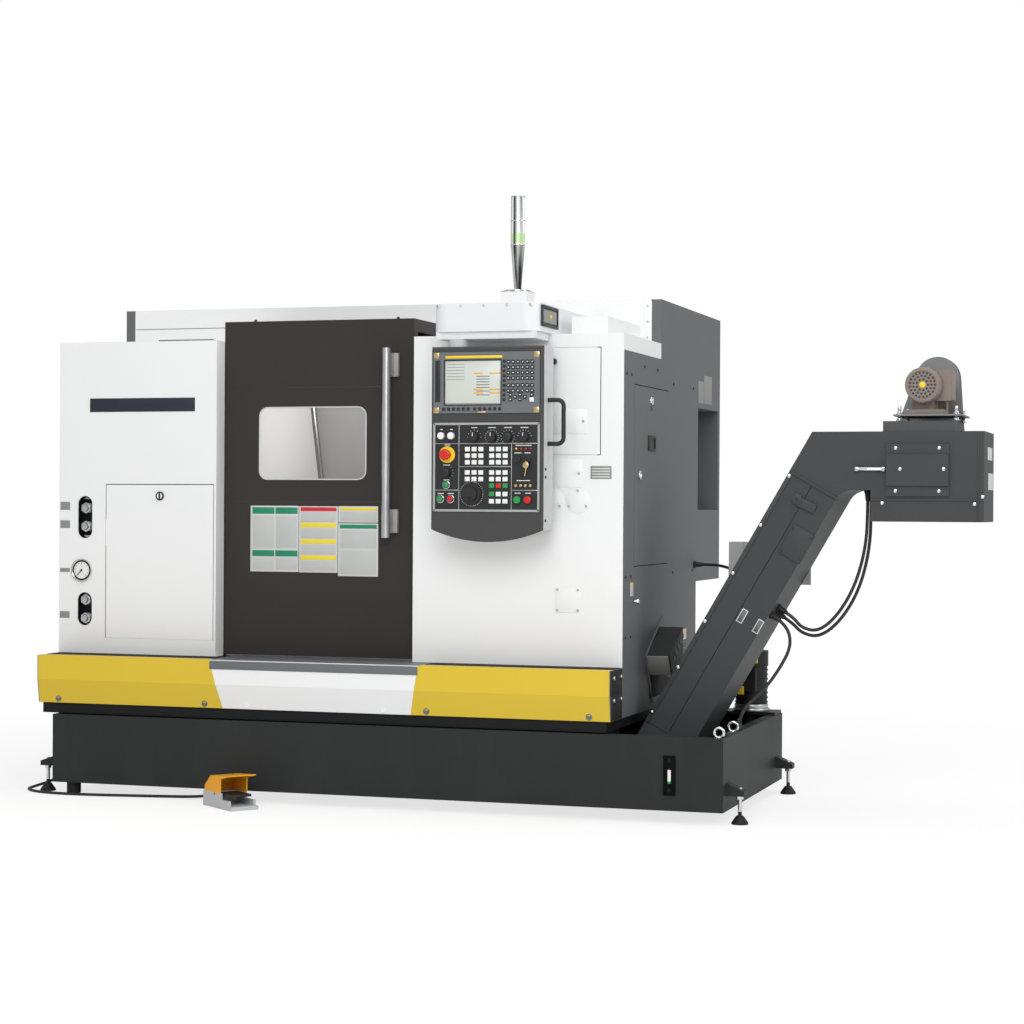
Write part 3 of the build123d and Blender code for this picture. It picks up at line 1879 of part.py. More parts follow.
with BuildPart(pedal_frame) as pedal_base:
    block(-pedal_half_length, pedal_half_length, -pedal_half_width, pedal_half_width, 0, pedal_plate)
    block(
        -pedal_half_length,
        pedal_block_length - pedal_half_length,
        -pedal_half_width,
        pedal_half_width,
        pedal_plate,
        pedal_block_top,
    )
    for wall_y in (-pedal_half_width, inner_half):
        block(
            -pedal_half_length,
            hood_cheek,
            wall_y,
            wall_y + pedal_wall,
            pedal_plate,
            pedal_block_top,
        )
        block(hood_cheek, hood_lip, wall_y, wall_y + pedal_wall, pedal_plate, pedal_wall_top)
    rod_y(pin_x, -pedal_half_width, pedal_half_width, pin_z, treadle_pin + bore_gap, Mode.SUBTRACT)
write(pedal_base, "pedal_base")

with BuildPart(pedal_frame) as pedal_treadle:
    block(treadle_back, treadle_tip, -treadle_half, treadle_half, treadle_z, treadle_z + treadle_thick)
    rod_y(pin_x, -pedal_half_width, pedal_half_width, pin_z, treadle_pin)
write(pedal_treadle, "pedal_treadle")


def hood_outline(inset):
    """The side outline of the pedal's hood."""
    return [
        (hood_back + inset, pedal_block_top),
        (hood_back + inset, hood_back_z - inset),
        (hood_shoulder + inset, hood_shoulder_z - inset),
        (hood_lip, hood_lip_z - inset),
        (hood_lip, hood_lip_z - hood_thick - inset),
        (hood_cheek, hood_shoulder_z - 2 * hood_thick),
        (hood_cheek, pedal_block_top),
    ]


with BuildPart() as pedal_hood:
    with BuildSketch(pedal_side.offset(-pedal_half_width)):
        Polygon(*hood_outline(0), align=None)
    extrude(amount=2 * pedal_half_width)
    with BuildSketch(pedal_side.offset(hood_thick - pedal_half_width)):
        Polygon(
            (hood_back + hood_thick, pedal_block_top),
            (hood_back + hood_thick, hood_back_z - hood_thick),
            (hood_shoulder + hood_thick, hood_shoulder_z - hood_thick),
            (hood_lip + overrun, hood_lip_z - hood_thick),
            (hood_lip + overrun, pedal_block_top),
            align=None,
        )
    extrude(amount=2 * (pedal_half_width - hood_thick), mode=Mode.SUBTRACT)
write(pedal_hood, "pedal_hood")

# Loose cables. Each route is a list of places chosen by hand
bend_share = 0.45


def cable(route, radius):
    """A tube along straight runs joined by tangent bends, on the open builder."""
    bends = []
    for before, here, after in zip(route, route[1:], route[2:]):
        run_in = Vector(*here) - Vector(*before)
        run_out = Vector(*after) - Vector(*here)
        turn = radians(run_in.get_angle(run_out))
        bends.append(bend_share * min(run_in.length, run_out.length) / tan(turn / 2))
    with BuildLine() as path:
        FilletPolyline(*route, radius=bends)
    with BuildSketch(Plane(origin=path.line @ 0, z_dir=path.line % 0)) as section:
        Circle(radius)
    sweep(section.sketch, path=path.line)
    return bends, path.wires()[0].length


cord_rest = cord_radius + run_gap


def pedal_place(along):
    """A place on the line of the pedal's cord, behind the pedal."""
    place = pedal_frame.from_local_coords((along, 0, (pedal_plate + pedal_wall_top) / 2))
    return place.X, place.Y, place.Z


def clip_place(y, z, out):
    """A place square off the underside of the incline."""
    face_x = upper_edge(z) + incline_width
    return face_x + out * sin(radians(incline)), y, z - out * cos(radians(incline))


cable_lead = 65.0
head_one_y = 300.0
head_one_clip = 750.0
head_two_y = 330.0
head_two_clip = 730.0
pump_clip_y = 250.0
pump_clip_z = 725.0
side_cable_y = 1130.0
side_cable_z = 882.0
junction_rear = conveyor_rear + sheet + junction_depth
junction_x = (junction_left + junction_right) / 2
junction_cable_z = 892.0
rim_cable_x = tank_right - rim_width / 2
rim_cable_y = 200.0
routes = {
    "pedal_cord": (
        cord_radius,
        [
            [
                pedal_place(-pedal_half_length),
                pedal_place(-pedal_half_length - cable_lead),
                (-1630.0, -130.0, 10.0),
                (-1740.0, -126.0, cord_rest),
                (-1880.0, -152.0, cord_rest),
                (-2030.0, -180.0, cord_rest),
                (-2160.0, -190.0, cord_rest),
                (-2275.0, -172.0, cord_rest),
                (-2360.0, -112.0, cord_rest),
                (-2376.0, -16.0, cord_rest),
                (-2330.0, 62.0, 24.0),
                (tank_left - cable_lead, 92.0, 72.0),
                (tank_left, 92.0, 72.0),
            ]
        ],
    ),
    "head_cables": (
        cable_radius,
        [
            [
                (838.0, 300.0, neck_low),
                (838.0, 300.0, 1115.0),
                (833.0, 300.0, 980.0),
                (796.0, 300.0, 838.0),
                (733.0, 300.0, 727.0),
                (662.0, 300.0, 664.0),
                (598.0, 300.0, 676.0),
                clip_place(head_one_y, head_one_clip, cable_lead),
                clip_place(head_one_y, head_one_clip, 0),
            ],
            [
                (846.0, 330.0, neck_low),
                (846.0, 330.0, 1110.0),
                (842.0, 330.0, 970.0),
                (807.0, 330.0, 824.0),
                (741.0, 330.0, 708.0),
                (662.0, 330.0, 642.0),
                (594.0, 330.0, 654.0),
                clip_place(head_two_y, head_two_clip, cable_lead),
                clip_place(head_two_y, head_two_clip, 0),
            ],
        ],
    ),
    "pump_cable": (
        cable_radius,
        [
            [
                clip_place(pump_clip_y, pump_clip_z, 0),
                clip_place(pump_clip_y, pump_clip_z, cable_lead),
                (573.0, 246.0, 616.0),
                (532.0, 238.0, 532.0),
                (474.0, 224.0, 448.0),
                (rim_cable_x, rim_cable_y, tank_top + cable_lead),
                (rim_cable_x, rim_cable_y, tank_top),
            ]
        ],
    ),
    "side_cable": (
        cable_radius,
        [
            [
                (0, side_cable_y, side_cable_z),
                (cable_lead, side_cable_y, side_cable_z),
                (125.0, 1062.0, 881.0),
                (196.0, 930.0, 873.0),
                (250.0, 800.0, 862.0),
                (junction_x, junction_rear + 2 * cable_lead, junction_cable_z),
                (junction_x, junction_rear, junction_cable_z),
            ]
        ],
    ),
}
for cable_name, (thickness, runs) in routes.items():
    with BuildPart() as cable_run:
        for route in runs:
            bend_radii, route_length = cable(route, thickness)
            rounded = [round(bend) for bend in bend_radii]
            print(cable_name, round(route_length), rounded, round(cable_run.part.volume / (pi * thickness**2)))
    write(cable_run, cable_name)
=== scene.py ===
"""Looks of a floor-standing turning lathe with a chip conveyor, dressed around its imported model."""

import math

import bpy
from mathutils import Matrix, Vector


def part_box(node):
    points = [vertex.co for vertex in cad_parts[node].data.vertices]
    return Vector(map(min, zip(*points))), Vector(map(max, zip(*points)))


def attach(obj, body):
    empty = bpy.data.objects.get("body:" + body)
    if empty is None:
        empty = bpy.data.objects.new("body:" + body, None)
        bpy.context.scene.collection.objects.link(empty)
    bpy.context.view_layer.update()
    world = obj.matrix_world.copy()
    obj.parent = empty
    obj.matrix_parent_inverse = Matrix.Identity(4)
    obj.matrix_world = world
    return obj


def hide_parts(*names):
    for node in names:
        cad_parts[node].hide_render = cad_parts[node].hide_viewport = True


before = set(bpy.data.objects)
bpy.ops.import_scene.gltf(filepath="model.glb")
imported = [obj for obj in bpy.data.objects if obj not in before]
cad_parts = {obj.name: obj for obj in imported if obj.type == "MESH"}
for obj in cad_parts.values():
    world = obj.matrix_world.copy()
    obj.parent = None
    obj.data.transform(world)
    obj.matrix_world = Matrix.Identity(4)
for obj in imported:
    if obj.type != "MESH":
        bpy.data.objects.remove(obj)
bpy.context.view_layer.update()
mm = 0.001
corner = Vector((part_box("right_side_panel")[1][0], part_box("left_front_panel")[0][1], 0))


def at(x, y, z):
    """A place in the frame, from millimetres off the casing's right front corner at floor level."""
    return corner + Vector((x, y, z)) * mm


def low_of(name):
    """A node's lowest corner, in the same millimetres."""
    return (Vector(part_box(name)[0]) - corner) / mm


def high_of(name):
    """A node's highest corner, in the same millimetres."""
    return (Vector(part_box(name)[1]) - corner) / mm


# Camera where the photographer stood
photo_width = 1024
focal_pixels = 2264
sensor_width = 36
yaw = math.radians(17.70)
pitch = math.radians(-0.130)
roll = math.radians(-0.340)
ahead = Vector((-math.sin(yaw) * math.cos(pitch), math.cos(yaw) * math.cos(pitch), math.sin(pitch)))
level = Vector((math.cos(yaw), math.sin(yaw), 0))
below = ahead.cross(level)
right = level * math.cos(roll) + below * math.sin(roll)
down = below * math.cos(roll) - level * math.sin(roll)
lens = bpy.data.cameras.new("photo_camera")
lens.sensor_width = sensor_width
lens.lens = sensor_width * focal_pixels / photo_width
lens.clip_end = 100
camera = bpy.data.objects.new("photo_camera", lens)
camera_place = at(2106, -7920, 1113)
camera_axes = Matrix((right, -down, -ahead)).transposed().to_4x4()
camera.matrix_world = Matrix.Translation(camera_place) @ camera_axes
bpy.context.collection.objects.link(camera)
bpy.context.scene.camera = camera
bpy.context.scene.view_settings.view_transform = "Standard"


# Shader maths
class Field:
    """A number that changes over a surface, for use in sums."""

    def __init__(self, finish, socket):
        self.finish = finish
        self.socket = socket

    def sum(self, operation, first, second):
        return self.finish.node("ShaderNodeMath", {"operation": operation}, {0: first, 1: second})

    def __add__(self, other):
        return self.sum("ADD", self, other)

    def __sub__(self, other):
        return self.sum("SUBTRACT", self, other)

    def __mul__(self, other):
        return self.sum("MULTIPLY", self, other)

    def __gt__(self, other):
        return self.sum("GREATER_THAN", self, other)

    def __lt__(self, other):
        return self.sum("LESS_THAN", self, other)

    def __rsub__(self, other):
        return self.sum("SUBTRACT", other, self)

    __radd__ = __add__
    __rmul__ = __mul__


class Finish:
    """One material put together from nodes."""

    def __init__(self, name):
        self.material = bpy.data.materials.new(name)
        self.material.use_nodes = True
        self.tree = self.material.node_tree
        self.shader = self.tree.nodes["Principled BSDF"]

    def node(self, kind, settings=None, inputs=None, out=0):
        made = self.tree.nodes.new(kind)
        for name, value in (settings or {}).items():
            if name == "stops":
                ramp = made.color_ramp.elements
                while len(ramp) < len(value):
                    ramp.new(1)
                for element, (place, colour) in zip(ramp, value):
                    element.position = place
                    element.color = colour
            else:
                setattr(made, name, value)
        for name, value in (inputs or {}).items():
            self.feed(made, name, value)
        return Field(self, made.outputs[out])

    def feed(self, node, name, value):
        if isinstance(value, Field):
            self.tree.links.new(value.socket, node.inputs[name])
        else:
            node.inputs[name].default_value = value

    def give(self, **inputs):
        """Sets sockets of the shader, with underscores for spaces in their names."""
        for name, value in inputs.items():
            self.feed(self.shader, name.replace("_", " "), value)
        return self

    def place(self):
        return self.node("ShaderNodeTexCoord", out="Object")

    def along(self, axis):
        return self.node("ShaderNodeSeparateXYZ", inputs={0: self.place()}, out="XYZ".index(axis))

    def noise(self, scale, detail=2.0, stretch=(1, 1, 1), distortion=0.0):
        spot = self.place()
        if stretch != (1, 1, 1):
            spot = self.node("ShaderNodeMapping", inputs={0: spot, 3: stretch})
        return self.node(
            "ShaderNodeTexNoise",
            inputs={"Vector": spot, "Scale": scale, "Detail": detail, "Distortion": distortion},
        )

    def mix(self, share, first, second):
        return self.node("ShaderNodeMix", {"data_type": "RGBA"}, {0: share, 6: first, 7: second}, 2)

    def ramp(self, value, *stops):
        return self.node("ShaderNodeValToRGB", {"stops": stops}, {0: value})

    def eased(self, radius):
        """Normals that round an edge off by a small radius."""
        return self.node("ShaderNodeBevel", {"samples": 4}, {0: radius})

    def edges(self, normal):
        """Near 1 along eased edges and 0 on flats."""
        flat = self.node("ShaderNodeNewGeometry", out="Normal")
        same = self.node("ShaderNodeVectorMath", {"operation": "DOT_PRODUCT"}, {0: normal, 1: flat}, "Value")
        return 1 - same

    def bump(self, height, strength, depth, normal=None):
        inputs = {"Height": height, "Strength": strength, "Distance": depth}
        if normal:
            inputs["Normal"] = normal
        return self.node("ShaderNodeBump", inputs=inputs)


def tint(red, green, blue):
    """A colour as seen on a screen, 0 to 255, in linear light."""
    parts = [part / 255 for part in (red, green, blue)]
    return tuple(p / 12.92 if p < 0.04045 else ((p + 0.055) / 1.055) ** 2.4 for p in parts) + (1,)


def toned(colour, share):
    """A colour made darker or lighter."""
    return tuple(min(1, part * share) for part in colour[:3]) + (1,)


def coat(
    name,
    colour,
    rough=0.42,
    grain=420,
    relief=0.1,
    cloud=0.05,
    edge_wear_and_highlight=0.25,
    round_off=1.6,
    grime=0,
    gloss=0.28,
    shade_below_height=0,
):
    """Powder coat or enamel with fine peel, grime low down, edges lightened as wear and as a painted
    highlight, and a painted shade that darkens the lower leaf below a given height.
    """
    finish = Finish(name)
    normal = finish.eased(round_off * mm)
    patch = finish.noise(2.3, 4)
    speck = finish.noise(grain, 2)
    tone = finish.mix(patch, toned(colour, 1 - cloud), toned(colour, 1 + cloud))
    # Edges lighter than the flats: partly edge wear, partly a painted highlight.
    tone = finish.mix(finish.edges(normal) * edge_wear_and_highlight, tone, toned(colour, 1.7))
    # Below the fold height the lower leaf is darkened as painted shade, for its slight downward lean.
    if shade_below_height:
        tone = finish.mix(finish.along("Z") < shade_below_height, tone, toned(colour, 0.92))
    if grime:
        streak = finish.noise(7, 6, (1, 1, 0.25))
        low = 1 - finish.along("Z") * 1.6
        share = finish.node("ShaderNodeClamp", inputs={0: low * (streak > 0.45) * streak})
        tone = finish.mix(share * grime, tone, toned(colour, 0.55))
    finish.give(Base_Color=tone, Roughness=rough + (patch - 0.5) * 0.16 + (speck - 0.5) * 0.06)
    finish.give(Normal=finish.bump(speck, relief, 0.4 * mm, normal))
    finish.shader.inputs["Specular IOR Level"].default_value = gloss
    return finish.material


def metal(name, colour, rough=0.28, stretch=(1, 1, 1), scale=160, relief=0.05, round_off=0.8):
    """Bare metal with the fine lines of its machining."""
    finish = Finish(name)
    lines = finish.noise(scale, 3, stretch)
    patch = finish.noise(6, 3)
    finish.give(
        Base_Color=finish.mix(patch, toned(colour, 0.88), toned(colour, 1.08)),
        Metallic=1.0,
        Roughness=rough + (lines - 0.5) * 0.20 + (patch - 0.5) * 0.10,
        Normal=finish.bump(lines, relief, 0.3 * mm, finish.eased(round_off * mm)),
    )
    return finish.material


def plastic(name, colour, rough=0.45, grain=600, relief=0.12, cloud=0.06, round_off=0.6, gloss=0.5):
    """Moulded plastic with a fine spark texture."""
    finish = Finish(name)
    speck = finish.noise(grain, 2)
    patch = finish.noise(14, 3)
    finish.give(
        Base_Color=finish.mix(patch, toned(colour, 1 - cloud), toned(colour, 1 + cloud)),
        Roughness=rough + (patch - 0.5) * 0.14,
        Normal=finish.bump(speck, relief, 0.2 * mm, finish.eased(round_off * mm)),
    )
    finish.shader.inputs["Specular IOR Level"].default_value = gloss
    return finish.material


def banded(name, axis, *bands):
    """A piece of several make-ups along an axis, each given as start, colour, metal share and roughness."""
    finish = Finish(name)
    patch = finish.noise(24, 3)
    spot = finish.along(axis)
    last = bands[0]
    tone = finish.mix(patch, toned(last[1], 0.93), toned(last[1], 1.05))
    shine, rough = last[2], last[3]
    for band in bands[1:]:
        past = spot > band[0]
        tone = finish.mix(past, tone, finish.mix(patch, toned(band[1], 0.93), toned(band[1], 1.05)))
        shine = past * (band[2] - last[2]) + shine
        rough = past * (band[3] - last[3]) + rough
        last = band
    finish.give(Base_Color=tone, Metallic=shine, Roughness=rough + (patch - 0.5) * 0.1)
    finish.give(Normal=finish.bump(patch, 0.05, 0.2 * mm, finish.eased(0.8 * mm)))
    finish.shader.inputs["Specular IOR Level"].default_value = 0.35
    return finish.material


def tube_with_painted_reflections():
    """White block, chrome foot and clear tube of the signal tower, with vertical streaks painted on the foot
    and tube as reflections.
    """
    finish = Finish("tower_tube")
    streak = finish.noise(70, 1, (1, 1, 0.02))
    height = finish.along("Z")
    dark, mid, bright = (0.06, 0.06, 0.06, 1), (0.55, 0.56, 0.57, 1), (0.9, 0.9, 0.9, 1)
    # Dark, mid and bright vertical streaks in the base colour, painted as reflections on the chrome foot and
    # the clear tube.
    tone = finish.ramp(streak, (0.34, dark), (0.50, mid), (0.62, bright))
    green = (height > 2072 * mm) * (height < 2108 * mm)
    # The green tier's lens colour lies only on the mid and bright painted streaks.
    tone = finish.mix(green * (streak > 0.44) * 0.6, tone, tint(150, 214, 60))
    block = height < 1893.5 * mm
    tone = finish.mix(block, tone, tint(232, 233, 234))
    glassy = (height > 2068 * mm) + block
    finish.give(Base_Color=tone, Metallic=1 - glassy, Roughness=0.12 + glassy * 0.1 + block * 0.2)
    finish.give(Normal=finish.eased(1.0 * mm))
    return finish.material


def glass(name, colour, rough, show):
    """Clear pane that lets most of the light through."""
    finish = Finish(name)
    smear = finish.noise(5, 4, (1, 1, 0.4))
    finish.give(
        Base_Color=finish.mix(smear, colour, toned(colour, 1.04)),
        Roughness=rough + smear * 0.05,
        Alpha=show + (smear - 0.5) * 0.05,
    )
    finish.shader.inputs["IOR"].default_value = 1.5
    finish.shader.inputs["Specular IOR Level"].default_value = 0.6
    return finish.material


# Finishes
white_coat = coat("white_coat", tint(238, 239, 239), 0.40, edge_wear_and_highlight=0.0, relief=0.06, cloud=0.015)
door_coat = coat("door_coat", tint(59, 55, 54), 0.46, edge_wear_and_highlight=0.55, relief=0.14, cloud=0.06, gloss=0.12)
# The two skirt coats darken below 0.44 m as painted shade on the lower leaf.
yellow_coat = coat("yellow_coat", tint(221, 190, 56), 0.38, edge_wear_and_highlight=0.2, relief=0.06, cloud=0.03, shade_below_height=0.44)
skirt_white = coat("skirt_white", tint(238, 239, 239), 0.40, edge_wear_and_highlight=0.0, relief=0.06, cloud=0.015, shade_below_height=0.44)
side_coat = coat("side_coat", tint(104, 106, 107), 0.50, edge_wear_and_highlight=0.5, relief=0.16, grime=0.15, gloss=0.15)
pan_coat = coat("pan_coat", tint(50, 52, 52), 0.46, edge_wear_and_highlight=0.5, relief=0.12, cloud=0.08, grime=0.3, gloss=0.1)
base_coat = coat("base_coat", tint(32, 33, 34), 0.5, edge_wear_and_highlight=0.4, relief=0.12, gloss=0.1)
junction_coat = coat("junction_coat", tint(170, 172, 172), 0.45, edge_wear_and_highlight=0.3, relief=0.1)
conveyor_coat = coat(
    "conveyor_coat", tint(70, 71, 72), 0.48, edge_wear_and_highlight=0.5, relief=0.16, cloud=0.07, grime=0.1, gloss=0.12
)
arm_coat = coat("arm_coat", tint(226, 228, 230), 0.40, edge_wear_and_highlight=0.0, relief=0.06, cloud=0.015)
pendant_coat = banded(
    "pendant_coat",
    "Y",
    (None, tint(66, 66, 67), 0.0, 0.5),
    (at(0, -190, 0).y, tint(192, 194, 195), 0.0, 0.45),
)
strip_coat = coat("strip_coat", tint(107, 111, 114), 0.44, edge_wear_and_highlight=0.3, relief=0.08)
motor_coat = coat("motor_coat", tint(132, 120, 113), 0.45, edge_wear_and_highlight=0.3, relief=0.2, round_off=1)
motor_set = banded(
    "motor_set",
    "Z",
    (None, tint(68, 70, 71), 0.0, 0.5),
    (1428.5 * mm, tint(120, 122, 123), 0.6, 0.45),
    (1452.5 * mm, tint(132, 120, 113), 0.0, 0.45),
)
feet_set = banded(
    "feet_set",
    "Z",
    (None, tint(30, 30, 31), 0.0, 0.6),
    (45 * mm, (0.72, 0.73, 0.74, 1), 1.0, 0.18),
)
guard_set = banded(
    "guard_set",
    "Y",
    (None, tint(122, 124, 125), 0.4, 0.5),
    (at(0, 533.5, 0).y, tint(58, 60, 61), 0.0, 0.5),
)
pump_coat = coat("pump_coat", tint(34, 35, 36), 0.40, edge_wear_and_highlight=0.6, relief=0.2, round_off=1)
casting_coat = coat("casting_coat", tint(120, 126, 128), 0.5, edge_wear_and_highlight=0.3, relief=0.35, grain=150, round_off=3)
pedal_coat = coat("pedal_coat", tint(240, 168, 40), 0.36, edge_wear_and_highlight=0.3, relief=0.06, round_off=1.5)
pedal_cast = coat("pedal_cast", tint(190, 193, 194), 0.5, edge_wear_and_highlight=0.2, relief=0.35, grain=220, round_off=1.5)
lining_sheet = banded(
    "lining_sheet",
    "X",
    (None, tint(196, 193, 192), 0.0, 0.45),
    (at(-1611.5, 0, 0).x, tint(150, 149, 146), 0.3, 0.4),
)
ground_steel = metal("ground_steel", (0.62, 0.63, 0.64), 0.22, (0.05, 1, 1), 220)
turned_steel = metal("turned_steel", (0.55, 0.56, 0.57), 0.26, (1, 0.3, 0.3), 260)
slat_steel = metal("slat_steel", (0.34, 0.34, 0.34), 0.45, (1, 0.1, 1), 120)
tower_tube = tube_with_painted_reflections()
chrome = metal("chrome", (0.80, 0.80, 0.81), 0.10, scale=60, relief=0.01)
zinc = metal("zinc", (0.60, 0.61, 0.63), 0.32, scale=90, relief=0.03)
black_plastic = plastic("black_plastic", tint(28, 28, 29), 0.48)
panel_black = plastic("panel_black", tint(30, 31, 33), 0.42, 900, 0.05)
screen_plastic = plastic("screen_plastic", tint(104, 107, 109), 0.50)
red_plastic = plastic("red_plastic", tint(206, 38, 30), 0.28, 300, 0.03)
green_plastic = plastic("green_plastic", tint(36, 150, 78), 0.30, 300, 0.03)
rubber = plastic("rubber", tint(30, 30, 30), 0.62, 260, 0.25, 0.10)
gasket_rubber = plastic("gasket_rubber", tint(196, 199, 200), 0.55, 260, 0.15, 0.05)
navy_coat = plastic("navy_coat", tint(34, 38, 52), 0.35, 300, 0.03)
tag_plate = metal("tag_plate", (0.55, 0.56, 0.55), 0.40, (0.1, 1, 1), 200, 0.02)
tag_grey = plastic("tag_grey", tint(138, 139, 137), 0.45, 200, 0.03)
keeper_grey = plastic("keeper_grey", tint(158, 154, 151), 0.4, 200, 0.03)
dial_white = plastic("dial_white", tint(232, 233, 230), 0.40, 200, 0.01)
placard_grey = plastic("placard_grey", tint(206, 208, 206), 0.38, 200, 0.02)
fold_coat = plastic("fold_coat", tint(52, 48, 47), 0.5, 400, 0.1)
gauge_black = plastic("gauge_black", tint(12, 12, 13), 0.6, 300, 0.05, gloss=0.08)
seam_black = plastic("seam_black", tint(26, 27, 28), 0.6, 300, 0.1, gloss=0.08)
key_white = plastic("key_white", tint(236, 237, 236), 0.42, 300, 0.03)
stop_yellow = plastic("stop_yellow", tint(246, 206, 20), 0.36, 300, 0.03)
lcd_grey = plastic("lcd_grey", tint(206, 212, 204), 0.22, 100, 0.01, 0.03)
lcd_amber = plastic("lcd_amber", tint(234, 178, 50), 0.25, 100, 0.01)
lcd_dark = plastic("lcd_dark", tint(120, 112, 104), 0.25, 100, 0.01)
brass = metal("brass", (0.72, 0.56, 0.28), 0.30, scale=120, relief=0.03)
header_paint = {
    "green": plastic("header_green", tint(20, 134, 98), 0.38, 200, 0.02),
    "yellow": plastic("header_yellow", tint(242, 214, 40), 0.38, 200, 0.02),
    "red": plastic("header_red", tint(206, 36, 44), 0.38, 200, 0.02),
    "grey": plastic("header_grey", tint(190, 193, 191), 0.40, 200, 0.02),
}
cable_rubber = plastic("cable_rubber", tint(34, 34, 35), 0.52, 340, 0.18, 0.12, 0.4)
window_glass = glass("window_glass", tint(222, 220, 218), 0.03, 0.10)

cad_finish = {
    white_coat: "left_front_panel right_front_panel right_hatch service_hatch roof_panel upper_cover",
    skirt_white: "centre_skirt",
    door_coat: "front_door",
    yellow_coat: "side_skirts",
    side_coat: "left_side_panel right_side_panel cabinet_door rear_panel",
    pan_coat: "coolant_tank side_box",
    base_coat: "machine_base",
    junction_coat: "junction_box",
    conveyor_coat: "conveyor_casing",
    arm_coat: "pendant_arm",
    pendant_coat: "pendant_box",
    guard_set: "chain_guard",
    lining_sheet: "chamber_lining",
    motor_set: "gear_motor",
    pump_coat: "coolant_pump",
    chrome: "pressure_gauge",
    feet_set: "levelling_feet",
    tower_tube: "signal_tower",
    ground_steel: "door_rails ball_screw spindle head_drum",
    turned_steel: "chuck sub_chuck turret_disc chuck_jaws",
    slat_steel: "conveyor_belt",
    casting_coat: "slant_bed headstock saddle turret_slide sub_spindle_head",
    window_glass: "door_window",
    zinc: "door_handle",
    black_plastic: "pendant_handle mode_knob feed_knob speed_knob handwheel",
    screen_plastic: "screen_unit",
    panel_black: "operator_panel",
    red_plastic: "emergency_stop feed_hold",
    green_plastic: "cycle_start",
    pedal_cast: "pedal_base",
    pedal_coat: "pedal_hood",
    rubber: "pedal_treadle",
    cable_rubber: "pedal_cord head_cables pump_cable side_cable",
}
for finish, names in cad_finish.items():
    for name in names.split():
        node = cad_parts[name]
        node.data.materials.clear()
        node.data.materials.append(finish)

# Cables
cable_lead = 65
cord_radius = 5.5
cable_radius = 6
incline_lean = math.radians(60)
pedal_lean = math.radians(38)


def off_incline(y, z, out):
    """A place square off the underside of the conveyor's incline, in millimetres."""
    face = 29 + (z - 314) / math.tan(incline_lean) + 198 / math.sin(incline_lean)
    return face + out * math.sin(incline_lean), y, z - out * math.cos(incline_lean)


def off_pedal(out):
    """A place behind the pedal, on the line of its cord."""
    reach = 112 + out
    return -1413 - reach * math.cos(pedal_lean), -285 + reach * math.sin(pedal_lean), 24


cable_routes = {
    "foot_pedal_cord": (
        "pedal_cord",
        cord_radius,
        [
            off_pedal(0),
            off_pedal(cable_lead),
            (-1630, -130, 10),
            (-1740, -126, 5.8),
            (-1880, -152, 5.8),
            (-2030, -180, 5.8),
            (-2160, -190, 5.8),
            (-2275, -172, 5.8),
            (-2360, -112, 5.8),
            (-2376, -16, 5.8),
            (-2330, 62, 24),
            (-2223 - cable_lead, 92, 72),
            (-2223, 92, 72),
        ],
    ),
    "motor_cable": (
        "head_cables",
        cable_radius,
        [
            (838, 300, 1181),
            (838, 300, 1115),
            (833, 300, 980),
            (796, 300, 838),
            (733, 300, 727),
            (662, 300, 664),
            (598, 300, 676),
            off_incline(300, 750, cable_lead),
            off_incline(300, 750, 0),
        ],
    ),
    "limit_switch_cable": (
        "head_cables",
        cable_radius,
        [
            (846, 330, 1181),
            (846, 330, 1110),
            (842, 330, 970),
            (807, 330, 824),
            (741, 330, 708),
            (662, 330, 642),
            (594, 330, 654),
            off_incline(330, 730, cable_lead),
            off_incline(330, 730, 0),
        ],
    ),
    "coolant_cable": (
        "pump_cable",
        cable_radius,
        [
            off_incline(250, 725, 0),
            off_incline(250, 725, cable_lead),
            (573, 246, 616),
            (532, 238, 532),
            (474, 224, 448),
            (388, 200, 306 + cable_lead),
            (388, 200, 306),
        ],
    ),
    "junction_cable": (
        "side_cable",
        cable_radius,
        [
            (0, 1130, 882),
            (cable_lead, 1130, 882),
            (125, 1062, 881),
            (196, 930, 873),
            (250, 800, 862),
            (302.5, 623 + 2 * cable_lead, 892),
            (302.5, 623, 892),
        ],
    ),
}
for name, (node, radius, route) in cable_routes.items():
    line = bpy.data.curves.new(name, "CURVE")
    line.dimensions = "3D"
    line.bevel_depth = radius * mm
    line.bevel_resolution = 5
    line.resolution_u = 16
    line.use_fill_caps = True
    spline = line.splines.new("NURBS")
    spline.points.add(len(route) - 1)
    for point, place in zip(spline.points, route):
        point.co = (*at(*place), 1)
    spline.order_u = 3
    spline.use_endpoint_u = True
    line.materials.append(cable_rubber)
    cable = bpy.data.objects.new(name, line)
    bpy.context.collection.objects.link(cable)
    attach(cable, "machine")
    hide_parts(node)
    2 * radius * mm
    "loose" if node == "pedal_cord" else "hanging"

# Modelling
up = (0, 0, 1)
to_front = (0, -1, 0)
to_rear = (0, 1, 0)
to_right = (1, 0, 0)
to_left = (-1, 0, 0)


def let_go():
    """Deselects everything, so that an operator only meets the piece in hand."""
    bpy.ops.object.select_all(action="DESELECT")


def eased_edges(ease, steps=2):
    """Bakes the active piece's place into its mesh and bevels its sharp edges."""
    bpy.ops.object.transform_apply(location=True, rotation=True, scale=True)
    bpy.ops.object.mode_set(mode="EDIT")
    bpy.ops.mesh.select_mode(type="EDGE")
    bpy.ops.mesh.select_all(action="DESELECT")
    bpy.ops.mesh.edges_select_sharp(sharpness=math.radians(40))
    bpy.ops.mesh.bevel(offset=ease * mm, segments=steps, affect="EDGES")
    bpy.ops.object.mode_set(mode="OBJECT")
    return bpy.context.object


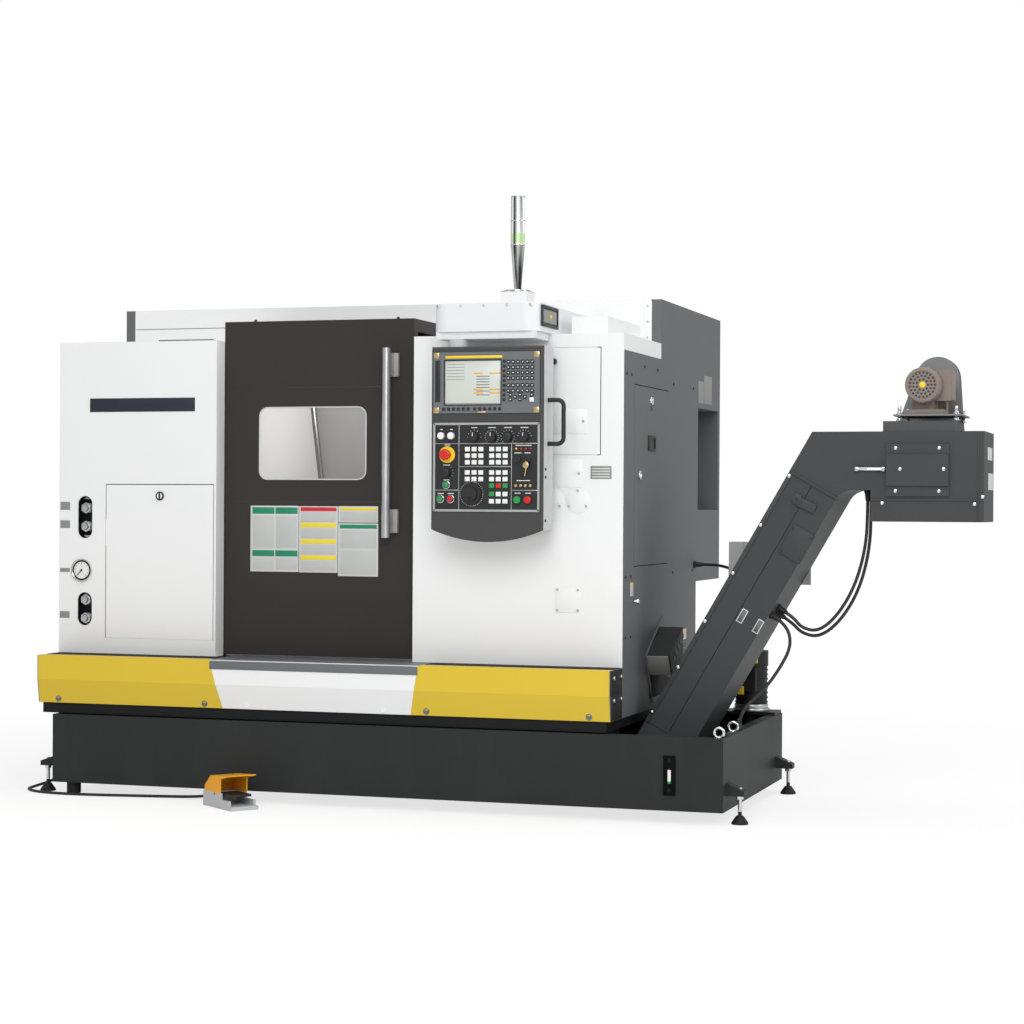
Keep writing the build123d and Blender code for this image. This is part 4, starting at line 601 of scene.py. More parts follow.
def slab(low, high, ease=0.4, turn=(0, 0, 0)):
    """A bevelled block between two corners, turned about its middle by degrees."""
    let_go()
    bpy.ops.mesh.primitive_cube_add(
        size=1,
        location=(at(*low) + at(*high)) / 2,
        rotation=[math.radians(angle) for angle in turn],
        scale=(at(*high) - at(*low)),
    )
    return eased_edges(ease)


def plates(outlines, face, thick, ease=0.3):
    """Plates on a face that looks to the front, each given by its left, low, right and top."""
    return [slab((left, face - thick, low), (right, face, top), ease) for left, low, right, top in outlines]


def side_plates(outlines, face, thick, ease=0.3):
    """Plates on a face that looks to the right, each given by its front, low, rear and top."""
    return [slab((face, front, low), (face + thick, rear, top), ease) for front, low, rear, top in outlines]


def around(places, half_x, half_z):
    """Outlines of plates that have their middles at places."""
    return [(x - half_x, z - half_z, x + half_x, z + half_z) for x, z in places]


def turned_rod(start, end, radius, ease=0.5, sides=32, tip=None):
    """A bevelled rod or taper between two places, with as many sides as its kind has."""
    let_go()
    line = at(*end) - at(*start)
    bpy.ops.mesh.primitive_cone_add(
        vertices=sides,
        radius1=radius * mm,
        radius2=(radius if tip is None else tip) * mm,
        depth=line.length,
        location=(at(*start) + at(*end)) / 2,
        rotation=line.to_track_quat("Z", "Y").to_euler(),
    )
    return eased_edges(ease)


def front_rod(x, z, face, proud, *shape):
    """A rod that stands out of a front face."""
    return turned_rod((x, face, z), (x, face - proud, z), *shape)


def upright_rod(x, y, low, high, *shape):
    """A rod that stands upright."""
    return turned_rod((x, y, low), (x, y, high), *shape)


def sink(piece, facing, margin, depth):
    """Insets the flat faces of a piece that look one way and pushes them in."""
    bpy.ops.object.mode_set(mode="EDIT")
    bpy.ops.mesh.select_mode(type="FACE")
    bpy.ops.mesh.select_all(action="DESELECT")
    bpy.ops.object.mode_set(mode="OBJECT")
    for face in piece.data.polygons:
        face.select = face.normal.dot(Vector(facing)) > 0.9999
    bpy.ops.object.mode_set(mode="EDIT")
    bpy.ops.mesh.inset(thickness=margin * mm)
    bpy.ops.mesh.extrude_region_move(TRANSFORM_OT_translate={"value": Vector(facing) * -depth * mm})
    bpy.ops.object.mode_set(mode="OBJECT")
    return piece


def front_frame(left, right, low, top, front, rear, wide, corner_round):
    """A round-cornered frame on a front face."""
    let_go()
    bpy.ops.mesh.primitive_plane_add(
        size=1,
        location=(at(left, rear, low) + at(right, rear, top)) / 2,
        rotation=(math.radians(90), 0, 0),
    )
    bpy.context.object.scale = ((right - left) * mm, (top - low) * mm, 1)
    bpy.ops.object.transform_apply(location=True, rotation=True, scale=True)
    bpy.ops.object.mode_set(mode="EDIT")
    bpy.ops.mesh.select_all(action="SELECT")
    bpy.ops.mesh.bevel(offset=corner_round * mm, segments=6, affect="VERTICES")
    bpy.ops.mesh.select_all(action="SELECT")
    bpy.ops.mesh.inset(thickness=wide * mm)
    bpy.ops.mesh.delete(type="FACE")
    bpy.ops.mesh.select_all(action="SELECT")
    bpy.ops.mesh.extrude_region_move(TRANSFORM_OT_translate={"value": (0, (front - rear) * mm, 0)})
    bpy.ops.mesh.select_all(action="SELECT")
    bpy.ops.mesh.normals_make_consistent(inside=False)
    bpy.ops.object.mode_set(mode="OBJECT")
    return bpy.context.object


def joined(pieces):
    """Several pieces made one."""
    let_go()
    for piece in pieces:
        piece.select_set(True)
    bpy.context.view_layer.objects.active = pieces[0]
    if len(pieces) > 1:
        bpy.ops.object.join()
    return bpy.context.object


def spread(master, places, facing=to_front):
    """Copies of a fitting, each with a mesh of its own, set at places and made one piece."""
    turn = Vector(facing).to_track_quat("Z", "Y").to_matrix().to_4x4()
    copies = []
    for place in places:
        copy = master.copy()
        copy.data = master.data.copy()
        copy.matrix_world = Matrix.Translation(at(*place)) @ turn
        bpy.context.collection.objects.link(copy)
        copies.append(copy)
    let_go()
    for copy in copies:
        copy.select_set(True)
    bpy.context.view_layer.objects.active = copies[0]
    bpy.ops.object.transform_apply(location=True, rotation=True, scale=True)
    return joined(copies)


def settle(name, finish, pieces, body="machine"):
    """Gives finished pieces their name, finish and place on a body."""
    piece = joined(pieces if isinstance(pieces, list) else [pieces])
    piece.name = piece.data.name = name
    piece.data.materials.clear()
    piece.data.materials.append(finish)
    bpy.ops.object.shade_smooth_by_angle(angle=math.radians(38))
    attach(piece, body)
    return piece


home = -corner / mm


def fitting(start, end, radius, **shape):
    """A master to copy, standing on the frame's origin along Z."""
    return turned_rod(home + Vector((0, 0, start)), home + Vector((0, 0, end)), radius, **shape)


def socket_screw(radius, height):
    """A cap screw's head with its hexagon socket."""
    head = fitting(0, height, radius, ease=radius * 0.12, sides=24)
    return sink(head, up, radius * 0.42, height * 0.45)


def hex_bolt(radius, height):
    """A bolt's hexagon on its washer."""
    washer = fitting(0, height * 0.22, radius * 1.25, ease=0.2)
    return joined([fitting(height * 0.22, height, radius, ease=radius * 0.1, sides=6), washer])


def cable_gland():
    """A ribbed gland that tapers to the cable."""
    parts = [fitting(0, 9, 15, ease=1.2, sides=6), fitting(9, 40, 11.5, ease=0.8, tip=7.4)]
    for rib in range(4):
        low = 13 + 6 * rib
        parts.append(fitting(low, low + 3, 11.6 - 0.7 * rib, ease=0.6))
    return joined(parts)


def eye_bolt():
    """A lifting ring on its collar."""
    let_go()
    bpy.ops.mesh.primitive_torus_add(
        major_radius=17 * mm,
        minor_radius=5 * mm,
        major_segments=40,
        minor_segments=14,
        location=(0, 0, 26 * mm),
        rotation=(math.radians(90), 0, 0),
    )
    bpy.ops.object.transform_apply(location=True, rotation=True, scale=True)
    ring = bpy.context.object
    return joined([ring, fitting(0, 5, 13, ease=1), fitting(4, 14, 8, ease=1, tip=6)])


small_screw = socket_screw(5, 3.5)
cap_screw = socket_screw(8, 7)
hex_head = hex_bolt(10, 9)
small_hex = hex_bolt(5, 5)
gland = cable_gland()
plug = sink(fitting(0, 4, 12, ease=1.0), up, 3, 1.5)

# Skirts and front panels
skirt_low, skirt_high = low_of("centre_skirt"), high_of("centre_skirt")
strip_outline = (skirt_low.x + 2, 497, skirt_high.x - 2, 529)
settle("centre_skirt_strip", strip_coat, plates([strip_outline], skirt_low.y, 2, 0.6))
plug_y, plug_z = -151.5, 366
dark_plugs = spread(plug, [(x, plug_y, plug_z) for x in (-2199, -1583, -696, -80)])
settle("skirt_plugs", strip_coat, dark_plugs)
white_plugs = spread(plug, [(x, plug_y, plug_z) for x in (-1411, -864)])
settle("centre_skirt_plugs", white_coat, white_plugs)
ledge = skirt_high.z
# Thin dark strips on the skirt ledges, along the gap under the white panels.
strip_top = ledge + 1.5
dark_strip_ends = ((-2278, -1562), (-722, -3))
ledge_dark_strips = [slab((left, -104, ledge), (right, -2, strip_top)) for left, right in dark_strip_ends]
settle("skirt_ledge_dark_strips", seam_black, ledge_dark_strips)
settle("door_sill", strip_coat, slab((-1558, -162, ledge), (-727, 66, strip_top)))
settle("left_name_strip", navy_coat, plates([(-2153, 1473, -1703, 1526)], 0, 1.5, 0.5))
tags = [(-2280, low, -2238, top) for low, top in ((1091, 1122), (1020, 1050), (848, 863), (668, 694))]
settle("left_tags", tag_grey, plates(tags, 0, 1))

# Dark sleeves and backs line the two gauge cups as painted shade inside their recesses.
cup_shade_sleeves = []
cup_shade_backs = []
for z, high in ((1063, 165), (705, 129)):
    cup_shade_sleeves.append(front_frame(-2202, -2142, z - high / 2 + 1, z + high / 2 - 1, 3, 32, 1.5, 29))
    cup_shade_backs += plates([(-2201, z - high / 2 + 12, -2143, z + high / 2 - 12)], 32, 2, 0.5)
settle("cup_shade_sleeves", seam_black, cup_shade_sleeves + cup_shade_backs)
adjusters = [(-2172, z + rise) for z in (1063, 705) for rise in (36, -36)]
adjuster_nuts = [front_rod(x, z, 11, 5, 22, 0.8, 6) for x, z in adjusters]
settle("adjuster_nuts", zinc, adjuster_nuts)
adjuster_knobs = [sink(front_rod(x, z, 6, 13, 15, 1.5, 24, 13), to_front, 4, 2) for x, z in adjusters]
settle("adjuster_knobs", zinc, adjuster_knobs)

gauge_x, gauge_z = -2183, 856
dial_ring = front_rod(gauge_x, gauge_z, -5, 1.4, 39.5, 0.3, 48)
settle("gauge_dial_ring", seam_black, dial_ring)
settle("gauge_dial", dial_white, front_rod(gauge_x, gauge_z, -6, 1, 33, 0.3, 48))
ticks = []
for step in range(11):
    lean = 225 - 27 * step
    long = 9 if step % 5 == 0 else 5
    x = gauge_x + math.cos(math.radians(lean)) * (31 - long / 2)
    z = gauge_z + math.sin(math.radians(lean)) * (31 - long / 2)
    ticks.append(slab((x - long / 2, -7.6, z - 0.8), (x + long / 2, -7, z + 0.8), 0.15, (0, -lean, 0)))
needle_low, needle_high = (gauge_x - 22, -9, gauge_z - 10.5), (gauge_x + 6, -8.2, gauge_z - 7)
ticks.append(slab(needle_low, needle_high, 0.3, (0, -50, 0)))
ticks.append(front_rod(gauge_x, gauge_z, -7, 3, 4, 0.5))
settle("gauge_marks", black_plastic, ticks)
hatch_lock = [sink(front_rod(-1849, 1147, 0, 6, 17, 1.2), to_front, 4, 2)]
hatch_lock += plates([(-1852, 1136, -1846, 1158)], -3, 5, 0.8)
settle("hatch_lock", black_plastic, hatch_lock, "hatch")

# Door
door_face = low_of("front_door").y
gasket = front_frame(-1468, -1025, 1211, 1491, door_face - 2.5, door_face, 5, 36)
settle("window_gasket", gasket_rubber, gasket, "door")
# Darker strips along the door's two folds, painted as the shade in their creases.
fold_shade_strips = plates([(-1560, z - 1.5, -960, z + 1.5) for z in (1564, 1128)], door_face, 0.7)
settle("door_fold_shades", fold_coat, fold_shade_strips, "door")
placards = [(-1502, 859, -1302, 1112), (-1300, 858, -1141, 1111)]
placards += [(-1139, 1050, -977, 1112), (-1139, 846, -976, 1047)]
settle("door_placards", placard_grey, plates(placards, door_face, 1, 0.35), "door")
green_rows = ((1081, 1106), (918, 941))
grey_rows = ((951, 1073), (867, 911))
header_bars = {
    "green": [(left, low, left + 92, high) for low, high in green_rows for left in (-1494, -1398)]
    + [(-1132, 1027, -982, 1042)],
    "yellow": [(-1294, low, -1146, low + 16) for low in (1031, 969, 907)] + [(-1132, 1096, -982, 1106)],
    "red": [(-1294, 1092, -1146, 1107)],
    "grey": [(left, low, left + 88, high) for low, high in grey_rows for left in (-1492, -1396)]
    + [(-1292, low, -1148, low + 40) for low in (1050, 988, 926, 864)]
    + [(-1130, low, -984, high) for low, high in ((1056, 1090), (952, 1020), (854, 944))],
}
for shade, bars in header_bars.items():
    fields = plates(bars, door_face - 1, 0.4, 0.15)
    settle("placard_" + shade, header_paint[shade], fields, "door")
keepers = plates([(-924, low, -893, low + 89) for low in (1012, 1600)], door_face, 19, 2.5)
settle("handle_keepers", keeper_grey, keepers, "door")
door_lugs = [upright_rod(x, 92, 1818, 1828, 7, 2, 20, 5) for x in (-1492, -906)]
settle("door_lugs", black_plastic, door_lugs, "door")


def lining_rod(y, radius):
    """A bead down the slanted rear wall of the chamber."""
    return turned_rod((-1608, y, 1540), (-1608, y + 135, 1091), radius, 1)


settle("lining_dark_beads", seam_black, [lining_rod(958, 6), lining_rod(926, 6)])
settle("lining_bead", zinc, lining_rod(942, 7))

# Right panel
plate_proud = 1.2
nameplate = plates([(-123, 1216, -44, 1263)], 0, plate_proud, 0.5)
settle("blank_nameplate", tag_grey, nameplate)
plate_fields = plates([(-117, z, -50, z + 5) for z in (1221, 1231, 1241, 1251)], -plate_proud, 0.4, 0.15)
settle("nameplate_fields", placard_grey, plate_fields)
panel_covers = plates([(-253, 729, -159, 820)], 0, 2, 0.8)
panel_covers += plates([(-330, 1381, -137, 1471), (-330, 1185, -155, 1289)], 0, 1.6, 0.8)
panel_covers += [front_rod(x, 1136, 0, 2, 46, 0.8, 48) for x in (-170, -270)]
settle("right_panel_covers", white_coat, panel_covers)
cover_screws = [(x, -2, z) for x in (-245, -167) for z in (737, 812)]
cover_screws += [(x, -2, z) for x, z in ((-170, 1174), (-202, 1117), (-138, 1117), (-238, 1117))]
cover_screws += [(-151, -1.6, 1426), (-166, -1.6, 1237)]
settle("right_panel_screws", zinc, spread(small_screw, cover_screws))
cover_face = low_of("upper_cover").y
cover_lines = plates([(-2242, 1837.5, -700, 1840)], cover_face, 0.7, 0.2)
cover_lines += plates([(-2136, 1789, -1887, 1794)], cover_face, 1)
settle("upper_cover_lines", strip_coat, cover_lines)
hatch_knob = [front_rod(-261, 1644, 0, 8, 7, 1), front_rod(-261, 1644, -8, 12, 12, 2, 24, 10)]
settle("right_hatch_knob", black_plastic, hatch_knob)
cover_strip = plates([(-69, 1752, -38, 1910)], cover_face, 4, 0.8)
settle("upper_cover_strip", white_coat, cover_strip)
strip_screws = [(-53, cover_face - 4, z) for z in (1770, 1831, 1892)]
settle("upper_cover_screws", zinc, spread(small_screw, strip_screws))

# Pendant
panel_face = low_of("pendant_box").y - 3
mark_proud = 0.5
dividers = [(-650, 1338.8, -261, 1341.2), (-559, 1255.8, -360, 1258.2), (-650, 1170.8, -559, 1173.2)]
dividers += [(-360, 1170.8, -261, 1173.2), (-560.2, 1102, -557.8, 1408), (-361.2, 1102, -358.8, 1340)]
frame_parts = [front_frame(-657, -254, 1095, 1415, panel_face - 2.5, panel_face + 1, 8, 3)]
frame_parts += plates(dividers, panel_face, 0.8, 0.25)
settle("panel_frame", tag_plate, frame_parts, "pendant")


def key_caps(left, top, columns=1, rows=1, drop=26):
    """A field of key caps, counted from its upper left key."""
    across = 25.5
    middles = [(left + across * column, top - drop * row) for column in range(columns) for row in range(rows)]
    return plates(around(middles, 9.3, 8.05), panel_face, 3.2, 0.7)


white_keys = []
for left in (-526, -434):
    white_keys += key_caps(left, 1320, 3, 3, 23.7) + key_caps(left, 1236, 3, 2, 23.8)
white_keys += key_caps(-408.5, 1158.6, 2, 2, 25.8) + key_caps(-434, 1132.8)
settle("white_keys", key_white, white_keys, "pendant")
green_keys = key_caps(-434, 1188.7) + key_caps(-383, 1188.7) + key_caps(-434, 1158.6)
settle("green_keys", green_plastic, green_keys, "pendant")
settle("red_key", red_plastic, key_caps(-408.5, 1188.7), "pendant")


def round_caps(places, radius, face, proud):
    """Domed caps over round buttons."""
    return [front_rod(x, z, face, proud, radius, 1.6, 32, radius * 0.92) for x, z in places]


white_lamps = round_caps([(-626, 1368), (-588, 1368)], 13.6, panel_face, 13)
settle("white_lamps", key_white, white_lamps, "pendant")
left_buttons = [(-606, 1191), (-628, 1140), (-589, 1140)]
green_caps = round_caps(left_buttons[:2], 11, panel_face - 10, 3)
settle("green_caps", green_plastic, green_caps, "pendant")
settle("red_cap", red_plastic, round_caps(left_buttons[2:], 11, panel_face - 10, 3), "pendant")
bezels = [front_rod(x, z, panel_face, 7, 15, 1) for x, z in left_buttons]
settle("button_bezels", chrome, bezels, "pendant")
stop_ring = sink(front_rod(-603, 1300, panel_face, 6, 30, 1.2, 48), to_front, 14, 4)
settle("stop_ring", stop_yellow, stop_ring, "pendant")
fixed_knobs = [front_rod(x, z, panel_face, 22, 17.6, 1.4, 20, 15.5) for x, z in ((-374, 1363), (-606, 1236))]
settle("fixed_knobs", black_plastic, fixed_knobs, "pendant")

switch_row = 1363
mark_rings = [
    (-501, switch_row, 25, 0, 180, 7),
    (-434, switch_row, 25, -40, 220, 16),
    (-374, switch_row, 25, -40, 220, 12),
    (-312, switch_row, 25, 10, 170, 8),
    (-606, 1236, 25, -30, 120, 7),
    (-510, 1159, 43.5, 0, 355, 40),
]
scale_marks = []
for x, z, ring, first, last, count in mark_rings:
    for step in range(count):
        lean = first + (last - first) * step / (count - 1)
        spot_x = x + ring * math.cos(math.radians(lean))
        spot_z = z + ring * math.sin(math.radians(lean))
        low = (spot_x - 2.2, panel_face - mark_proud, spot_z - 0.5)
        high = (spot_x + 2.2, panel_face, spot_z + 0.5)
        scale_marks.append(slab(low, high, 0.1, (0, -lean, 0)))
captions = [(-626, 1391, 10), (-588, 1391, 10), (-501, 1397, 22)]
captions += [(x, 1397, 30) for x in (-434, -374, -312)]
captions += [(-603, 1335, 22), (-606, 1263, 26), (-606, 1209, 22), (-628, 1160, 24), (-589, 1160, 24)]
captions += [(-336, 1162, 22), (-297, 1162, 22), (-315, 1333, 60), (-336, 1306, 26), (-300, 1306, 22)]
captions += [(-315, 1207, 50)]
for x, z, wide in captions:
    scale_marks += plates(around([(x, z)], wide / 2, 1.4), panel_face, mark_proud, 0.2)
settle("panel_marks", key_white, scale_marks, "pendant")

for body, x in (("mode_switch", -501), ("feed_switch", -434), ("speed_switch", -312)):
    pointer = plates([(x - 1.2, 1366, x + 1.2, 1379)], panel_face - 21, 1.2)
    settle(body + "_pointer", key_white, pointer, body)

lamp_row = (-342, -324, -306, -288)
led_lamps = [front_rod(x, 1321, panel_face, 3, 3.6, 0.8, 20) for x in lamp_row]
settle("yellow_led", stop_yellow, led_lamps[0], "pendant")
settle("red_leds", red_plastic, led_lamps[1:], "pendant")
jacks = [front_rod(x, 1189, panel_face, 8, 6, 0.8, 24, 5) for x in lamp_row]
key_barrels = []
for x, z in ((-336, 1282), (-300, 1281), (-315, 1233)):
    key_barrels.append(sink(front_rod(x, z, panel_face, 9, 12, 1, 32, 11), to_front, 4, 1.5))
jacks += plates([(-302, 1270, -298, 1276)], panel_face - 7, 14, 0.5)
jacks.append(front_rod(-300, 1262, panel_face - 21, 2, 11, 0.6))
jacks.append(slab((-303, panel_face - 22, 1222), (-299, panel_face - 20, 1256), 0.6, (0, 8, 0)))
settle("key_switches", black_plastic, key_barrels, "pendant")
settle("keys_and_jacks", brass, jacks, "pendant")

# Screen
screen_face = low_of("screen_unit").y
pane_face = screen_face + 2.8
pane = plates([(-613, 1481, -402, 1638)], pane_face + 1.2, 1.2, 0.2)
settle("screen_glass", lcd_grey, pane, "pendant")
rim = front_frame(-617, -398, 1477, 1642, screen_face - 0.8, screen_face + 1, 4, 2)
settle("screen_rim", panel_black, rim, "pendant")
amber_bars = []
for low in (1590, 1532, 1519):
    amber_bars += [(-505, low, -468, low + 5), (-446, low, -403, low + 5)]
settle("screen_amber", lcd_amber, plates(amber_bars, pane_face, 0.4, 0.1), "pendant")
dark_bars = [(-494, low, -444, low + 3) for low in (1580, 1570, 1560, 1550, 1540, 1527, 1513)]
dark_bars += [(-612, 1483, -403, 1484.5)]
dark_bars += [(-606, 1625 - 11 * row, -540, 1626.5 - 11 * row) for row in range(6)]
settle("screen_lines", lcd_dark, plates(dark_bars, pane_face, 0.3, 0.1), "pendant")
small_keys = []
for column in range(6):
    for row in range(6):
        small_keys.append((-372 + 17.8 * column, 1632 - 19.5 * row - (6 if row > 3 else 0)))
small_keys += [(x, z) for x in (-364, -328) for z in (1514, 1497)]
small_keys += [(-346, 1506), (-310, 1506), (-284, 1514)]
edge_keys = [(-388, 1634 - 17.2 * row) for row in range(9)]
edge_keys += [(-617 + 18.8 * step + (6 if step > 5 else 0), 1464) for step in range(12)]
key_proud = 3
screen_keys = plates(around(small_keys, 6.8, 6.8), screen_face, key_proud, 2.2)
screen_keys += plates(around(edge_keys, 5.4, 5.4), screen_face, 2.5, 0.9)
settle("screen_keys", black_plastic, screen_keys, "pendant")
legends = plates(around(small_keys, 2.6, 1.8), screen_face - key_proud, 0.4, 0.2)
legends += plates([(-292, 1489, -276, 1504)], screen_face, 3.5, 1)
settle("screen_key_legends", key_white, legends, "pendant")
corner_plates = [(x, z, x + 20, z + 20) for x in (-656, -277) for z in (1450, 1648)]
corner_plates += [(-489, 1450, -458, 1456)]
settle("screen_corner_plates", brass, plates(corner_plates, screen_face, 1, 0.4), "pendant")
header = plates([(-611, 1647, -396, 1656)], screen_face, 0.8)
settle("screen_header", stop_yellow, header, "pendant")
memory_slot = plates([(-650, 1490, -630, 1640)], screen_face, 0.6)
settle("memory_slot", panel_black, memory_slot, "pendant")
pendant_end = high_of("pendant_box").x
side_catches = spread(small_screw, [(pendant_end, -170, z) for z in (1248, 1220, 1064)], to_right)
settle("pendant_catches", black_plastic, side_catches, "pendant")

# Arm and tower
arm_end = high_of("pendant_arm").x
port_frame = side_plates([(-144, 1764, 57, 1841)], arm_end, 6, 1.2)[0]
settle("arm_port", black_plastic, sink(port_frame, to_right, 9, 4))
settle("arm_port_plate", tag_grey, side_plates([(-126, 1779, 39, 1826)], arm_end + 2, 2, 0.5))
port_catch = turned_rod((arm_end + 4, -48, 1803), (arm_end + 9, -48, 1803), 7, 1)
settle("arm_port_catch", stop_yellow, port_catch)
tower_x, tower_y = -386, -60
flange_low, flange_top = 1894, 1901
tower_screws = [(tower_x + dx, tower_y + dy, flange_top) for dx in (-28, 28) for dy in (-28, 28)]
tower_flange = [upright_rod(tower_x, tower_y, flange_low, flange_top, 48, 1.5, 48)]
settle("tower_flange", chrome, tower_flange + [spread(small_screw, tower_screws, up)])
tower_rings = [upright_rod(tower_x, tower_y, z, z + 4, 27, 0.8, 40) for z in (2064, 2152, 2240)]
settle("tower_rings", chrome, tower_rings)
arm_screws = [(low_of("pendant_arm").x + 25 + 88 * step, -178, 1838) for step in range(5)]
settle("arm_screws", zinc, spread(small_screw, arm_screws))

# Sides and back
left_face = low_of("left_side_panel").x
rear_face = high_of("rear_panel").y
side_lock = sink(turned_rod((0, 228, 1234), (7, 228, 1234), 17, 1.2), to_right, 5, 2)
settle("side_door_lock", chrome, side_lock, "side_door")
pull = sink(side_plates([(359, 1327, 467, 1386)], 0, 5, 1.5)[0], to_right, 9, 4)
settle("side_door_pull", black_plastic, pull, "side_door")
side_knob = [turned_rod((0, 149, 768), (12, 149, 768), 6, 1)]
side_knob += [turned_rod((12, 149, 768), (24, 149, 768), 11, 2, 24, 9)]
settle("side_knob", chrome, side_knob)
side_places = [(y, z) for z in (640, 860, 1600) for y in (40, 110)] + [(y, 1640) for y in (300, 500)]
side_places += [(y, z) for y in (760, 1100) for z in (860, 1600)]
side_screws = spread(small_screw, [(0, y, z) for y, z in side_places], to_right)
settle("side_screws", fold_coat, side_screws)
left_screws = spread(small_screw, [(left_face, y, z) for y, z in side_places], to_left)
settle("left_side_screws", fold_coat, left_screws)
rear_screws = [(x, rear_face, z) for x in range(-2240, 0, 439) for z in (860, 1366, 1870)]
settle("rear_screws", fold_coat, spread(small_screw, rear_screws, to_rear))
toe_bolts = spread(cap_screw, [(0, y, z) for y in (-121, -22) for z in (423, 503)], to_right)
settle("toe_bolts", zinc, toe_bolts)
blank_tags = side_plates([(106, 788, 149, 838), (930, 584, 1000, 626)], 0, 1)
settle("side_blank_tags", placard_grey, blank_tags)
grey_tags = side_plates([(1191, 1546, 1290, 1637), (1296, 1548, 1440, 1664)], 0, 1)
settle("side_grey_tags", tag_grey, grey_tags)
upper_lock = turned_rod((0, 409, 1517), (7, 409, 1517), 17, 1.2, 32, 13)
settle("side_door_upper_lock", chrome, upper_lock, "side_door")
tag_heads = side_plates([(110, 822, 145, 834), (936, 610, 994, 621)], 1, 0.5, 0.2)
settle("side_tag_heads", header_paint["yellow"], tag_heads)
louvres = [turned_rod((0, 700, z), (0, 1000, z), 6, 0.5, 16) for z in range(420, 580, 26)]
settle("side_louvres", side_coat, louvres)
settle("side_box_plate", tag_grey, slab((5, 364, 475), (87, 368, 563), 0.8, (34, 0, 0)))
# Dark plates on the side box, painted as the shade inside its slots.
slots = [(405 + 40 * step + 22 * row, 536 + 17 * step + 26 * row) for step in range(4) for row in range(2)]
slot_plates = side_plates([(y, z, y + 22, z + 18) for y, z in slots], high_of("side_box").x, 0.8)
settle("side_box_slots", panel_black, slot_plates)
# A dark sheet below the side box, painted as the shade in the open hollow under it.
settle("side_box_mouth_shade", seam_black, side_plates([(400, 392, 690, 480)], 0, 1))
end_plate = side_plates([(-163, 440, -3, 530), (-151, 352, -3, 440)], 0, 1.2, 0.4)
settle("skirt_end_plate", pan_coat, end_plate)
flange = [slab((0, 330, 624), (5, 612, 630), 1, (28.3, 0, 0))]
flange += [slab((0, 284, 461), (5, 500, 467), 1, (-62.6, 0, 0))]
settle("side_box_flange", side_coat, flange)

# Conveyor
incline_turn = 30
incline_face = 200
head_end = high_of("conveyor_casing").x


def on_incline(x, z, length, width, proud, ease=0.6, base=0):
    """A strip on the front of the incline, long the way the incline climbs."""
    low = (x - width / 2, incline_face - base - proud, z - length / 2)
    high = (x + width / 2, incline_face - base, z + length / 2)
    return slab(low, high, ease, (0, incline_turn, 0))


lips = [on_incline(311, 785, 1070, 16, 5), on_incline(660, 1196, 9, 200, 6), on_incline(85, 306, 5, 85, 2)]
cover = on_incline(598, 984, 118, 91, 5, 1)
lug = front_rod(597, 1148, incline_face, 12, 20, 1.5)
lug_arm = slab((597, incline_face - 10, 1108), (668, incline_face, 1142), 2, (0, 25, 0))
head_lip = plates([(861, 1142, head_end, 1150)], incline_face, 3, 0.8)
side_lip = plates([(1240, 1070, 1246, 1391)], incline_face, 2, 0.6)
flanges = lips + [cover, lug, lug_arm] + head_lip + side_lip
settle("conveyor_flanges", conveyor_coat, flanges)
settle("conveyor_seam", seam_black, on_incline(391, 745, 1050, 2, 0.6, 0.2))
bolt_places = [(x, 192, z) for x in (952, 1106) for z in (1331, 1178)] + [(969, 184, 1256), (1123, 184, 1256)]
bolt_places += [(x, incline_face, z) for x, z in ((904, 1135), (1230, 1132), (1258, 1158))]
lip_bolts = [(568, 1231), (464, 1053), (363, 877), (260, 699), (160, 528), (62, 359)]
bolt_places += [(x, incline_face - 5, z) for x, z in lip_bolts]
settle("conveyor_bolts", chrome, spread(small_hex, bolt_places))
plate_screws = [(x, incline_face - 5, z) for x, z in ((583, 1043), (654, 1007), (614, 926), (543, 963))]
plate_screws += [(597, incline_face - 12, 1148)]
settle("conveyor_plate_screws", conveyor_coat, spread(small_screw, plate_screws))
rod_y, rod_z = 192, 1256
rod_parts = [(808, 820, 12, 1, 6), (904, 915, 13, 1, 6), (820, 904, 6.6, 0.6, 32)]
tension_bolt = [turned_rod((x, rod_y, rod_z), (end, rod_y, rod_z), *shape) for x, end, *shape in rod_parts]
settle("tension_bolt", chrome, tension_bolt)
label_places = [(398, 720), (457, 683)]
labels = [on_incline(x, z, 54, 24, 1, 0.3) for x, z in label_places]
labels += side_plates([(315, 1291, 470, 1337), (340, 1184, 510, 1244)], head_end, 1)
settle("conveyor_blank_labels", placard_grey, labels)
label_fields = [on_incline(x, z, 47, 17, 0.4, 0.2, base=1) for x, z in label_places]
settle("conveyor_label_fields", strip_coat, label_fields)

# Motor
motor_x, motor_z = 1046, 1556
motor_front = low_of("gear_motor").y
fan_cover = front_rod(motor_x, motor_z, motor_front + 34, 40, 65, 6, 48, 62)
motor_cover = [sink(fan_cover, to_front, 6, 3)]
for step in range(24):
    lean = 15 * step
    x = motor_x + 62 * math.cos(math.radians(lean))
    z = motor_z + 62 * math.sin(math.radians(lean))
    low, high = (x - 5, motor_front + 44, z - 1.5), (x + 5, motor_front + 150, z + 1.5)
    motor_cover.append(slab(low, high, 0.6, (0, -lean, 0)))
settle("motor_cover", motor_coat, motor_cover)
